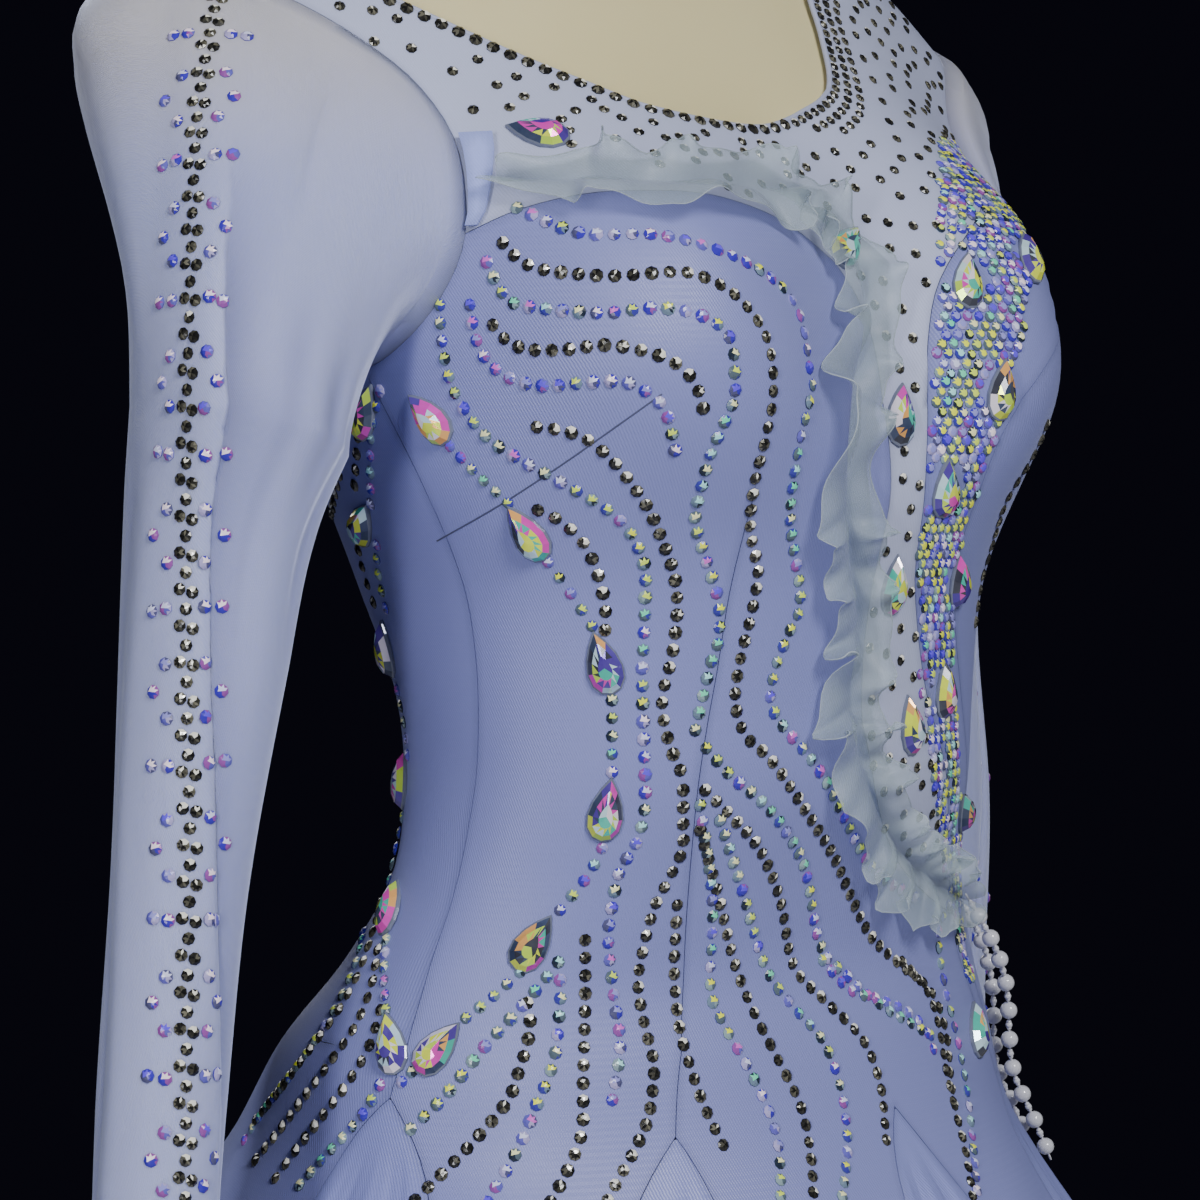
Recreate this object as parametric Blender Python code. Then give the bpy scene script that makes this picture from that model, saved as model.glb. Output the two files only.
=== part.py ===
"""Ballroom dance dress on a limbless dress form.

The dress is a shell of cut panels over the form: a fitted satin body in full-length gores, a mesh yoke,
a beaded strip, two empty mesh sleeves, eight godets that open into the skirt, a tulle ruffle, chains of
drop stones and two strings of pearls. Metres, +Z up, the front faces -Y, the wearer's right is -X.

A place on the garment is (angle, height): the angle in degrees goes round the upright axis of the torso,
0 at the centre front and + towards the wearer's left, and the height is above the floor.
"""
import bpy
import bmesh
import numpy as np
from math import cos, pi, radians, sin

# ---- sizes ------------------------------------------------------------------------------------------
CLOTH = 0.0012          # thickness of the cloth wall
SEAM = 0.0003           # gap between two pieces at a seam
REST = 0.0003           # gap under a piece that lies on another
CLOTH_LIFT = 0.0010     # inner face of the cloth above the torso lines
LAID_ON = CLOTH_LIFT + CLOTH + REST     # lowest face of what lies on the cloth
FORM_LIFT = -0.0022     # skin of the form below the torso lines
FORM_FULLNESS = 0.94    # swellings of the form against those of the dress
HIP = 0.955             # height where the fitted body ends and the legs of the gores start
HEM = 0.030             # height of the hem
FORM_BOTTOM = 0.72
FORM_TOP = 1.50
GODET_HALF = 13.0       # half angle that a godet fills at the hem, degrees
GODET_OPENS = 0.035     # drop below its point over which a godet opens
GODET_FOLDS = 2.5       # waves across one godet
GODET_WAVE = 0.076      # height of those waves as a share of the width of the godet
FLAT_BELOW = 0.020      # a godet narrower than this has no waves
WAVED_FROM = 0.070      # a godet wider than this has its full waves
GORE_WAVE = 0.012       # outward belly of a gore at the hem
BASE_RADIUS = 0.165
BASE_HEIGHT = 0.016
HUB_RADIUS = 0.032
HUB_HEIGHT = 0.055
POLE_RADIUS = 0.016

# The torso that the dress is cut for. Distances run from the axis of the section.
TORSO = [
    # height, half_width, front, back, shift_back
    (0.700, 0.142, 0.090, 0.102, 0.020),
    (0.760, 0.156, 0.100, 0.118, 0.022),
    (0.820, 0.163, 0.106, 0.130, 0.024),
    (0.870, 0.164, 0.107, 0.136, 0.026),
    (0.910, 0.157, 0.104, 0.131, 0.023),
    (0.950, 0.152, 0.092, 0.106, 0.019),
    (0.980, 0.140, 0.073, 0.084, 0.008),
    (1.010, 0.126, 0.070, 0.078, -0.001),
    (1.050, 0.118, 0.077, 0.088, -0.007),
    (1.080, 0.119, 0.080, 0.092, -0.006),
    (1.120, 0.124, 0.091, 0.110, 0.000),
    (1.160, 0.138, 0.102, 0.118, 0.004),
    (1.200, 0.146, 0.106, 0.118, 0.016),
    (1.240, 0.151, 0.110, 0.110, 0.032),
    (1.280, 0.154, 0.112, 0.096, 0.054),
    (1.310, 0.156, 0.110, 0.086, 0.070),
    (1.340, 0.154, 0.100, 0.080, 0.080),
    (1.365, 0.144, 0.086, 0.072, 0.083),
    (1.385, 0.116, 0.074, 0.064, 0.082),
    (1.405, 0.082, 0.066, 0.058, 0.078),
    (1.430, 0.061, 0.060, 0.055, 0.072),
    (1.465, 0.055, 0.055, 0.053, 0.064),
    (1.500, 0.054, 0.054, 0.053, 0.060),
]
# The skirt below the hip, in the same columns.
SKIRT = [
    (0.030, 0.490, 0.490, 0.490, 0.000),
    (0.150, 0.472, 0.472, 0.472, 0.000),
    (0.300, 0.438, 0.436, 0.437, 0.000),
    (0.450, 0.390, 0.382, 0.386, 0.001),
    (0.600, 0.322, 0.306, 0.316, 0.003),
    (0.700, 0.270, 0.246, 0.264, 0.006),
    (0.800, 0.208, 0.182, 0.212, 0.012),
    (0.850, 0.189, 0.147, 0.184, 0.018),
    (0.885, 0.174, 0.124, 0.160, 0.022),
    (0.910, 0.161, 0.110, 0.139, 0.023),
]
# Round swellings of the torso on both sides: the bust, and the rounded ends at the shoulders.
SWELLS = [
    # from_front_deg, height, proud, spread_deg, reach_up, reach_down, roundness
    (36.0, 1.226, 0.0335, 24.0, 0.064, 0.061, 3.0),
    (90.0, 1.3165, 0.0595, 20.0, 0.050, 0.049, 2.0),
]

# The armhole, the same on both sides, from the top of the shoulder down the front and up the back.
ARMHOLE = [
    # forward_of_side_deg, height
    (0.0, 1.352), (8.5, 1.345), (16.5, 1.333), (23.0, 1.318), (28.0, 1.300), (30.0, 1.276),
    (27.0, 1.248), (20.0, 1.226), (11.0, 1.210), (2.0, 1.202), (-8.0, 1.206), (-17.0, 1.216),
    (-24.0, 1.232), (-28.0, 1.252), (-30.0, 1.278), (-27.0, 1.303), (-20.0, 1.325), (-10.5, 1.342),
]
ARM_STRIP, ARM_YOKE, ARM_UNDER, ARM_BACK = 4, 6, 9, 13   # rows of ARMHOLE where two panels meet

# Neckline and seams. Every row is (angle in degrees, height).
NECK_FRONT = [(-90, 1.366), (-82, 1.358), (-74, 1.349), (-67, 1.339), (-60, 1.329), (-55, 1.322),
              (-50, 1.3155), (-45, 1.3095), (-39, 1.303), (-33, 1.2965), (-28, 1.2935), (-22, 1.2915),
              (-16, 1.2905), (-10, 1.2904), (-5, 1.2915), (-1, 1.2935), (3, 1.296), (6, 1.2983),
              (9, 1.3005), (12, 1.303), (15, 1.306), (18, 1.310), (22, 1.319), (27, 1.334), (33, 1.352),
              (45, 1.367), (56, 1.372), (67, 1.3755), (79, 1.379), (90, 1.379)]
NECK_BACK = [(90, 1.379), (98, 1.376), (106, 1.372), (113, 1.368), (121, 1.363), (134, 1.354),
             (143, 1.349), (152, 1.345), (161, 1.342), (170, 1.340), (180, 1.339), (190, 1.340),
             (199, 1.342), (208, 1.344), (217, 1.347), (226, 1.351), (239, 1.357), (247, 1.360),
             (254, 1.362), (262, 1.364), (270, 1.366)]
YOKE_SEAM = [(-63, 1.248), (-54, 1.256), (-44, 1.261), (-33, 1.262)]
CHEST_SEAM = [(-33, 1.262), (-28, 1.261), (-22, 1.258), (-16, 1.254), (-10, 1.248), (-4, 1.240)]
CHEST_FALL = [(-4, 1.240), (-1, 1.231), (1, 1.219), (2, 1.205), (2, 1.190)]
WEDGE_TOP = [(2, 1.190), (7, 1.190), (12, 1.190)]
WEDGE_SIDE = [(2, 1.190), (3, 1.172), (4, 1.153), (4, 1.133), (3.4, 1.112), (3.6, 1.092), (5, 1.072)]
WEDGE_FOOT = [(5, 1.072), (13, 1.045), (27, 1.023), (44, 1.005), (61, 0.990)]
HIP_TO_WEDGE = [(58, HIP), (59.6, 0.973), (61, 0.990)]
STRIP_INNER = [(61, 0.990), (55, 1.018), (47, 1.040), (39, 1.060), (31, 1.080), (24, 1.101), (18, 1.125),
               (14.5, 1.148), (12.5, 1.165), (12, 1.178), (12, 1.190)]
STRIP_INNER_TOP = [(12, 1.190), (13, 1.212), (17, 1.235), (26, 1.256), (42, 1.280), (62, 1.300)]
STRIP_OUTER = [(62, HIP), (64.5, 0.972), (67, 0.990), (66, 1.016), (61, 1.040), (54, 1.062), (47, 1.084),
               (40, 1.104), (34, 1.125), (30, 1.145), (27.5, 1.163), (27, 1.178), (29, 1.192)]
STRIP_OUTER_TOP = [(29, 1.192), (34, 1.205), (41, 1.217), (49, 1.229), (57, 1.240), (63, 1.248)]
PRINCESS = [(-38, HIP), (-41, 0.980), (-43.5, 1.004), (-44.5, 1.028), (-44, 1.052), (-41.5, 1.076),
            (-38, 1.099), (-35, 1.121), (-32.5, 1.142), (-30.5, 1.163), (-29.5, 1.196), (-30.5, 1.229),
            (-33, 1.262)]
BAND_WIDTHS = (1.8, 4.2, 4.6)     # width of the armhole band at its rows, degrees
BAND_TOP = 0.25         # how far up the last cell of the armhole the band reaches
BAND_INSET = 0.6        # its distance from the armhole, degrees
BAND_RISE = 0.002       # its foot above the yoke seam
BAND_LIFT = 0.0016      # its back above the cloth it bridges
PRINCESS_TOP = 9        # row of PRINCESS where the cut seam ends under the bust
SIDE_RIGHT = [(-79.5, HIP), (-84, 0.997), (-86, 1.039), (-84, 1.080), (-82, 1.121), (-84, 1.162),
              (-88, 1.202)]
SIDE_LEFT = [(91, HIP), (88.5, 0.997), (87, 1.039), (84.5, 1.080), (82.5, 1.121), (84, 1.162),
             (88, 1.202)]
CENTRE_BACK = [(180, HIP), (180, 1.210)]
BACK_YOKE_LEFT = [(118, 1.252), (130, 1.246), (148, 1.231), (180, 1.210)]
BACK_YOKE_RIGHT = [(180, 1.210), (212, 1.231), (230, 1.246), (242, 1.252)]
BODY_ROWS = 12
YOKE_ROWS = 4
BACK_YOKE_CELLS = 5
FULL_TURN = np.array([360.0, 0.0])
HIP_ROWS = 2            # rows below the foot of the mesh wedge
WEDGE_TIP = 0.3         # how far up its lowest cell the mesh wedge ends
LEG_HEIGHTS = [HIP, 0.940, 0.925, 0.900, 0.860, 0.790, 0.680, 0.500, 0.270, HEM]

# Godets: the angle of the point, its row in LEG_HEIGHTS, and the least half angle at the point.
GODETS = {
    "godet_side_right": dict(angle=-79.5, row=1, least=0.0),
    "godet_front_right": dict(angle=-38.0, row=2, least=0.0),
    "godet_front": dict(angle=17.0, row=2, least=0.0),
    "godet_front_left": dict(angle=60.0, row=2, least=2.0),
    "godet_side_left": dict(angle=91.0, row=1, least=0.0),
    "godet_back_left": dict(angle=134.0, row=2, least=0.0),
    "godet_back": dict(angle=180.0, row=2, least=0.0),
    "godet_back_right": dict(angle=230.0, row=2, least=0.0),
}
GODET_COLUMNS = 10
GODET_TIP = 0.14         # how far down its first row a godet starts
GODET_TIP_WIDE = 0.05    # the same where it starts with some width
CUT_TO_HIP = ("godet_front_right",)     # the princess seam above this godet is cut through

# The hanging sleeves: the right one hangs forward, the left one straight down.
SLEEVE_RIGHT = [
    # height, centre_x, centre_y, radius_x, radius_y
    (1.190, -0.202, 0.007, 0.0375, 0.0450),
    (1.150, -0.211, 0.012, 0.0305, 0.0340),
    (1.090, -0.221, 0.011, 0.0260, 0.0280),
    (1.020, -0.233, 0.008, 0.0215, 0.0225),
    (0.940, -0.245, 0.002, 0.0200, 0.0210),
    (0.820, -0.259, -0.006, 0.0195, 0.0205),
]
SLEEVE_LEFT = [
    (1.190, 0.203, 0.074, 0.0375, 0.0440),
    (1.150, 0.208, 0.083, 0.0315, 0.0350),
    (1.090, 0.218, 0.087, 0.0270, 0.0290),
    (1.020, 0.233, 0.088, 0.0230, 0.0240),
    (0.940, 0.241, 0.094, 0.0205, 0.0215),
    (0.820, 0.252, 0.100, 0.0195, 0.0205),
]
SLEEVE_STAND = 0.0090    # gap between the sleeve and the rounded shoulder inside it
CAP_TURN_IN = (0.10, 0.04)       # how far the first row lies inside the armhole, on top and underarm
CAP_LEAVE = (0.12, 0.03)         # length of the cap's tangent at the armhole, on top and underarm
CAP_ARRIVE = (0.24, 0.025)       # and where it meets the tube
UNDERARM_DROP = 0.022    # how far the tube starts lower at the body than outside
SLEEVE_LEFT_TURN = -45.0 # turn of the sleeve that hangs back, degrees at the underarm
CAP_STEPS = [0.15, 0.30, 0.46, 0.63, 0.81]   # rows of the sleeve cap, from armhole to tube

# The ruffle runs on the satin and mesh seam from the right armhole to the left hip.
RUFFLE_LINE = [(-56, 1.265), (-44, 1.265), (-30, 1.264), (-15, 1.264), (-4, 1.254), (1, 1.236), (-1, 1.215),
               (-7, 1.195), (-10, 1.172), (-9, 1.150), (-4, 1.126), (0, 1.105), (-1, 1.082), (2, 1.064),
               (9, 1.047), (22, 1.030), (40, 1.014), (56, 1.002), (66, 0.995)]
RUFFLE = dict(waves=17, steps=4, upper=0.018, lower=0.018, stand=0.0085, wave=0.0065, scallop=0.18,
              slip=0.9, lift=0.0006, wall=0.0010)

# Chains of drop stones: where each drop sits, tip up.
DROP_LENGTH = 0.022
DROP_WIDTH = 0.0125
DROP_HEIGHT = 0.0046
CHAIN_WIDTH = 0.0042
CHAIN_HEIGHT = 0.0022
CHAINS = {
    "drops_side_right": [(-79, 1.182), (-68, 1.142), (-60, 1.097), (-61, 1.043), (-69, 0.996), (-74, 0.962)],
    "drops_back_right": [(-96, 1.182), (-106, 1.146), (-112, 1.098), (-112, 1.049), (-104, 1.004),
                         (-91, 0.962)],
    "drops_strip": [(43, 1.243), (22, 1.202), (20, 1.160), (27, 1.120), (43, 1.076), (60, 1.026)],
}
CHAIN_LIFT = 0.0006      # back of a drop above the cloth it lies on
DROP_STATIONS = (0.04, 0.30, 0.62, 0.86, 0.97)      # cuts along a drop, 0 at the tip
DROP_RAISED = (0.2, 0.9)                            # the part of a drop that has its full height
DROP_TABLE_WIDTH = 0.55  # width of the flat top against the foot

# Strings of pearls that hang from the end of the ruffle over the left hip.
PEARL_RADIUS = 0.0036
THREAD_RADIUS = 0.0011
THREAD_LIFT = 0.0002     # thread above the cloth at its upper end
THREAD_START = 0.006     # bare thread above the first bead
HANGS_FREE = 0.42        # share of the string over which it leaves the cloth
BEAD_FLANK = 0.42        # where the sides of a bead start, as a share of its radius
BEAD_GIRTH = 0.90        # radius of a bead there
PEARLS = {
    "pearls_outer": dict(top=(75.0, 0.994), foot=(78.5, 0.870), stand=0.0170, beads=10),
    "pearls_inner": dict(top=(79.5, 0.990), foot=(81.5, 0.878), stand=0.0165, beads=9),
}

MATERIALS = {
    # name: colour, roughness, metallic
    "satin": ((0.36, 0.38, 0.60), 0.45, 0.0),
    "godet_satin": ((0.42, 0.44, 0.64), 0.40, 0.0),
    "mesh": ((0.40, 0.40, 0.55), 0.60, 0.0),
    "sleeve_mesh": ((0.42, 0.43, 0.62), 0.60, 0.0),
    "tulle": ((0.40, 0.48, 0.52), 0.55, 0.0),
    "crystal": ((0.60, 0.62, 0.55), 0.12, 0.5),
    "pearl": ((0.85, 0.84, 0.88), 0.25, 0.0),
    "form": ((0.80, 0.74, 0.50), 0.50, 0.0),
    "stand": ((0.75, 0.74, 0.72), 0.30, 0.8),
}


# ---- the surface that the garment is cut for --------------------------------------------------------
def section_table(rows):
    return np.array(sorted(rows), float)


TORSO_TABLE = section_table(TORSO)
DRESS_TABLE = section_table(SKIRT + [row for row in TORSO if row[0] >= 0.945])


def section_at(table, height):
    """Half width, front, back and shift at each height, on a smooth curve through the rows."""
    knots = table[:, 0]
    height = np.clip(height, knots[0], knots[-1])
    index = np.clip(np.searchsorted(knots, height) - 1, 0, len(knots) - 2)
    step = knots[index + 1] - knots[index]
    t = (height - knots[index]) / step
    values = []
    for column in range(1, 5):
        value = table[:, column]
        slope = np.gradient(value, knots)
        values.append((2 * t**3 - 3 * t**2 + 1) * value[index] + (t**3 - 2 * t**2 + t) * step * slope[index]
                      + (3 * t**2 - 2 * t**3) * value[index + 1] + (t**3 - t**2) * step * slope[index + 1])
    return values


def radius_at(table, angle, height, full=1.0):
    """Distance of the surface from the axis of its section; the section is a full oval."""
    half_width, front, back, shift = section_at(table, height)
    depth = np.where(np.cos(angle) > 0, front, back)
    fullness = 2.25
    radius = (np.abs(np.sin(angle) / half_width)**fullness
              + np.abs(np.cos(angle) / depth)**fullness)**(-1 / fullness)
    for from_front, level, proud, spread, reach_up, reach_down, roundness in SWELLS:
        reach = np.where(height > level, reach_up, reach_down)
        upright = np.exp(-np.abs((height - level) / reach)**roundness)
        for side in (-1, 1):
            turn = (angle - side * radians(from_front) + pi) % (2 * pi) - pi
            radius = radius + full * proud * upright * np.exp(-(turn / radians(spread))**2)
    return radius, shift


def surface(table, angle_deg, height, out=0.0, full=1.0):
    """Points of the surface; out adds to the radius."""
    angle = np.radians(np.asarray(angle_deg, float))
    angle, height, out = np.broadcast_arrays(angle, np.asarray(height, float), out)
    radius, shift = radius_at(table, angle, height, full)
    radius = radius + out
    return np.stack([radius * np.sin(angle), shift - radius * np.cos(angle), height], -1)


def surface_normal(table, angle_deg, height):
    angle_deg = np.asarray(angle_deg, float)
    height = np.asarray(height, float)
    round_ = surface(table, angle_deg + 0.2, height) - surface(table, angle_deg - 0.2, height)
    upward = surface(table, angle_deg, height + 0.0008) - surface(table, angle_deg, height - 0.0008)
    normal = np.cross(round_, upward)
    return normal / np.linalg.norm(normal, axis=-1, keepdims=True)


# ---- lines and patches of the pattern ---------------------------------------------------------------
def smooth_line(knots, cells):
    """cells + 1 points along a smooth curve through the knots, evenly spaced over the cloth."""
    knots = np.array(knots, float)
    if len(knots) == cells + 1:
        return knots
    scale = np.array([0.0025, 1.0])
    chord = np.linalg.norm(np.diff(knots * scale, axis=0), axis=1)
    along = np.concatenate([[0.0], np.cumsum(chord)])
    t = np.linspace(0.0, along[-1], cells + 1)
    if len(knots) == 2:
        return np.stack([np.interp(t, along, knots[:, k]) for k in (0, 1)], -1)
    table = np.column_stack([along, knots, knots])
    values = section_at(table, t)
    return np.stack(values[:2], -1)


def line_of(knots):
    """A line whose points are the knots themselves."""
    return np.array(knots, float)


def arm_line(side, first, last):
    """Points of the armhole from one row to another; side is -1 on the right and 1 on the left."""
    step = 1 if last >= first else -1
    rows = range(first, last + step, step)
    return np.array([(side * (90 - ARMHOLE[k % len(ARMHOLE)][0]), ARMHOLE[k % len(ARMHOLE)][1])
                     for k in rows])


def join(*lines):
    """One line from several that share their end points."""
    kept = [lines[0]] + [line[1:] for line in lines[1:]]
    return np.concatenate(kept)


def patch(bottom, top, left, right):
    """Rows of points that fill four border lines."""
    u = np.linspace(0, 1, len(bottom))[None, :, None]
    v = np.linspace(0, 1, len(left))[:, None, None]
    edges = (1 - v) * bottom[None] + v * top[None] + (1 - u) * left[:, None] + u * right[:, None]
    corners = ((1 - u) * (1 - v) * bottom[0] + u * (1 - v) * bottom[-1]
               + (1 - u) * v * top[0] + u * v * top[-1])
    return edges - corners


def ruled(bottom, top, rows):
    """Rows of points on straight lines between two borders."""
    v = np.linspace(0, 1, rows + 1)[:, None, None]
    return bottom[None] * (1 - v) + np.array(top, float)[None] * v


class Pattern:
    """A cut piece as faces over named corners, so that slits stay open where two patches touch."""

    def __init__(self):
        self.keys = {}
        self.places = []
        self.normals = []
        self.flat = []
        self.faces = []

    def corner(self, flat, place, normal, tag):
        key = (round(flat[0], 4), round(flat[1], 6), tag)
        if key not in self.keys:
            self.keys[key] = len(self.places)
            self.places.append(place)
            self.normals.append(normal)
            self.flat.append(tuple(flat))
        return self.keys[key]

    def add(self, flat, places, normals, tags=None):
        """Adds a grid of points; tags(row, column) names the side of a slit."""
        rows, columns = flat.shape[:2]
        index = [[self.corner(flat[i, j], places[i, j], normals[i, j], tags(i, j) if tags else "")
                  for j in range(columns)] for i in range(rows)]
        for i in range(rows - 1):
            for j in range(columns - 1):
                self.faces.append((index[i][j], index[i][j + 1], index[i + 1][j + 1], index[i + 1][j]))

    def add_cloth(self, flat, tags=None):
        """Adds a grid that lies on the torso lines."""
        self.add(flat, surface(DRESS_TABLE, flat[..., 0], flat[..., 1]),
                 surface_normal(DRESS_TABLE, flat[..., 0], flat[..., 1]), tags)

    def border(self):
        """Border edges in the direction of their face."""
        edges = {}
        for face in self.faces:
            for a, b in zip(face, face[1:] + face[:1]):
                edges[(a, b)] = face
        return {pair: face for pair, face in edges.items() if (pair[1], pair[0]) not in edges}

    def pulled_back(self, distance):
        """The corners with each border moved inwards along the cloth, so that seams keep their gap."""
        places = np.array(self.places)
        inward = {}
        for (a, b), face in self.border().items():
            along = places[b] - places[a]
            along = along / np.linalg.norm(along)
            centre = np.mean([places[k] for k in face], axis=0)
            side = centre - places[a]
            side = side - along * np.dot(side, along)
            side = side / np.linalg.norm(side)
            inward.setdefault(a, []).append(side)
            inward.setdefault(b, []).append(side)
        moved = places.copy()
        for k, sides in inward.items():
            total = np.sum(sides, axis=0)
            size = np.linalg.norm(total)
            if size < 0.4:
                continue
            total = total / size
            reach = min(1.0 / max(np.dot(total, sides[0]), 0.4), 2.0)
            moved[k] = places[k] + total * distance * reach
        return moved


def shell_mesh(name, pattern, inner, outer, gap=SEAM / 2):
    """A closed wall between two offsets from the pattern, with rims along every border."""
    places = pattern.pulled_back(gap)
    normals = np.array(pattern.normals)
    count = len(places)
    inner = np.broadcast_to(inner, count)[:, None]
    outer = np.broadcast_to(outer, count)[:, None]
    points = np.concatenate([places + normals * outer, places + normals * inner])
    faces = [tuple(face) for face in pattern.faces]
    faces += [tuple(count + k for k in reversed(face)) for face in pattern.faces]
    faces += [(b, a, count + a, count + b) for a, b in pattern.border()]
    mesh = bpy.data.meshes.new(name)
    mesh.from_pydata([tuple(p) for p in points], [], faces)
    return mesh


# ---- objects and materials --------------------------------------------------------------------------
def material(name):
    made = bpy.data.materials.get(name)
    if made is None:
        colour, roughness, metallic = MATERIALS[name]
        made = bpy.data.materials.new(name)
        made.use_nodes = True
        shader = made.node_tree.nodes["Principled BSDF"]
        shader.inputs["Base Color"].default_value = (*colour, 1.0)
        shader.inputs["Roughness"].default_value = roughness
        shader.inputs["Metallic"].default_value = metallic
    return made


def place_object(name, mesh, finish):
    """Adds the mesh as one closed, triangulated, smooth-shaded object facing outwards."""
    work = bmesh.new()
    work.from_mesh(mesh)
    bmesh.ops.triangulate(work, faces=work.faces, quad_method="SHORT_EDGE")
    bmesh.ops.recalc_face_normals(work, faces=work.faces)
    work.to_mesh(mesh)
    work.free()
    mesh.shade_smooth()
    mesh.set_sharp_from_angle(angle=radians(40))
    mesh.materials.append(material(finish))
    thing = bpy.data.objects.new(name, mesh)
    bpy.context.scene.collection.objects.link(thing)
    return thing


def cloth_object(name, pattern, finish, inner=CLOTH_LIFT, wall=CLOTH, gap=SEAM / 2):
    inner = np.asarray(inner, float)
    return place_object(name, shell_mesh(name, pattern, inner, inner + wall, gap), finish)


def tube_object(name, rings, finish):
    """A closed solid through rings of points, with a flat fan at both ends."""
    rings = np.asarray(rings, float)
    count = rings.shape[1]
    points = [tuple(p) for ring in rings for p in ring]
    points += [tuple(rings[0].mean(axis=0)), tuple(rings[-1].mean(axis=0))]
    faces = []
    for i in range(len(rings) - 1):
        for j in range(count):
            k = (j + 1) % count
            faces.append((i * count + j, i * count + k, (i + 1) * count + k, (i + 1) * count + j))
    last = (len(rings) - 1) * count
    for j in range(count):
        k = (j + 1) % count
        faces.append((len(points) - 2, k, j))
        faces.append((len(points) - 1, last + j, last + k))
    mesh = bpy.data.meshes.new(name)
    mesh.from_pydata(points, [], faces)
    return place_object(name, mesh, finish)


# ---- the dress form and its stand -------------------------------------------------------------------
def turned_rings(profile, sides):
    turn = np.linspace(0, 2 * pi, sides, endpoint=False)
    return [np.stack([r * np.cos(turn), r * np.sin(turn), np.full(sides, z)], -1) for r, z in profile]


def make_form():
    heights = np.concatenate([np.linspace(FORM_BOTTOM, 0.90, 4), np.linspace(0.925, 1.385, 22),
                              [1.405, 1.43, 1.465, FORM_TOP]])
    angles = np.linspace(-180, 180, 40, endpoint=False)
    rings = []
    for height in heights:
        ring = surface(TORSO_TABLE, angles, np.full(angles.shape, height), 0.0, FORM_FULLNESS)
        normal = surface_normal(TORSO_TABLE, angles, np.full(angles.shape, height))
        normal[:, 2] = 0.0
        rings.append(ring + normal * FORM_LIFT)
    tube_object("form_torso", rings, "form")


def make_stand():
    hub = [(BASE_RADIUS - 0.006, 0.0), (BASE_RADIUS, 0.004), (BASE_RADIUS, 0.009),
           (BASE_RADIUS - 0.010, BASE_HEIGHT), (HUB_RADIUS + 0.010, BASE_HEIGHT + 0.004),
           (HUB_RADIUS, BASE_HEIGHT + 0.012), (HUB_RADIUS - 0.006, HUB_HEIGHT)]
    tube_object("stand_base", turned_rings(hub, 32), "stand")
    pole = [(POLE_RADIUS, HUB_HEIGHT + REST), (POLE_RADIUS, FORM_BOTTOM - REST)]
    tube_object("stand_pole", turned_rings(pole, 16), "stand")


# ---- skirt ------------------------------------------------------------------------------------------
def godet_half(godet, height):
    """Half angle of a godet at a height, from its point down."""
    drop = np.maximum(LEG_HEIGHTS[godet["row"]] - height, 0.0)
    return np.maximum(GODET_HALF * (1 - np.exp(-drop / GODET_OPENS)), godet["least"])


def fall(height):
    """How far down the skirt a height is, 0 at the hip and 1 at the hem."""
    return np.clip((HIP - height) / (HIP - HEM), 0.0, 1.0)


def waved_grid(flat, waves):
    """Places and wall directions of a grid whose radius is waved by waves(across, height)."""
    rows, columns = flat.shape[:2]
    across = np.linspace(0, 1, columns)[None, :] * np.ones((rows, 1))
    height = flat[..., 1]

    def at(shift, lift):
        angle = flat[..., 0] + shift * (flat[:, -1:, 0] - flat[:, :1, 0])
        return surface(DRESS_TABLE, angle, height + lift, waves(np.clip(across + shift, 0, 1), height + lift))

    step = 0.02
    round_ = at(step, 0.0) - at(-step, 0.0)
    upward = at(0.0, 0.002) - at(0.0, -0.002)
    waved = np.cross(round_, upward)
    waved = waved / np.maximum(np.linalg.norm(waved, axis=-1, keepdims=True), 1e-9)
    plain = surface_normal(DRESS_TABLE, flat[..., 0], height)
    inside = np.clip(4 * np.minimum(across, 1 - across), 0, 1)[..., None]
    narrow = np.clip(fall(height)[..., None] * 8, 0, 1)
    mixed = plain * (1 - inside * narrow) + waved * inside * narrow
    return at(0.0, 0.0), mixed / np.linalg.norm(mixed, axis=-1, keepdims=True)


def gore_waves(across, height):
    return GORE_WAVE * fall(height) * np.sin(pi * across)**2


def godet_waves(godet):
    """Waves of one godet, as deep as its width allows at each height."""
    def waves(across, height):
        width = 2 * np.radians(godet_half(godet, height)) * radius_at(DRESS_TABLE, 0.0, height)[0]
        depth = GODET_WAVE * width * np.clip((width - FLAT_BELOW) / (WAVED_FROM - FLAT_BELOW), 0, 1)
        return depth * np.sin(2 * pi * GODET_FOLDS * across) * np.minimum(1, 6 * (1 - across))
    return waves


def leg_grid(left_godet, right_godet, across):
    """One leg of a gore between two godets, from the hip row down to the hem."""
    heights = np.array(LEG_HEIGHTS)
    first = left_godet["angle"] + godet_half(left_godet, heights)
    last = right_godet["angle"] - godet_half(right_godet, heights)
    angle = first[:, None] + (last - first)[:, None] * across
    flat = np.stack([angle, np.broadcast_to(heights[:, None], angle.shape)], -1)
    return flat[::-1]


def add_leg(pattern, left_name, right_name, edges):
    """Adds a leg; where a godet is let into a slash, the cloth above its point stays whole.

    edges are the angles of its columns at the hip row.
    """
    left, right = dict(GODETS[left_name]), dict(GODETS[right_name])
    if right["angle"] < left["angle"]:
        right["angle"] += 360.0
    across = (edges - edges[0]) / (edges[-1] - edges[0])
    flat = leg_grid(left, right, across)
    columns = len(edges) - 1
    places, normals = waved_grid(flat, gore_waves)
    last_row = len(LEG_HEIGHTS) - 1

    def tags(i, j):
        row = last_row - i
        if j == 0:
            return "east" if row > left["row"] or left_name in CUT_TO_HIP else ""
        if j == columns:
            return "west" if row > right["row"] or right_name in CUT_TO_HIP else ""
        return ""

    pattern.add(flat, places, normals, tags)


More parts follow.
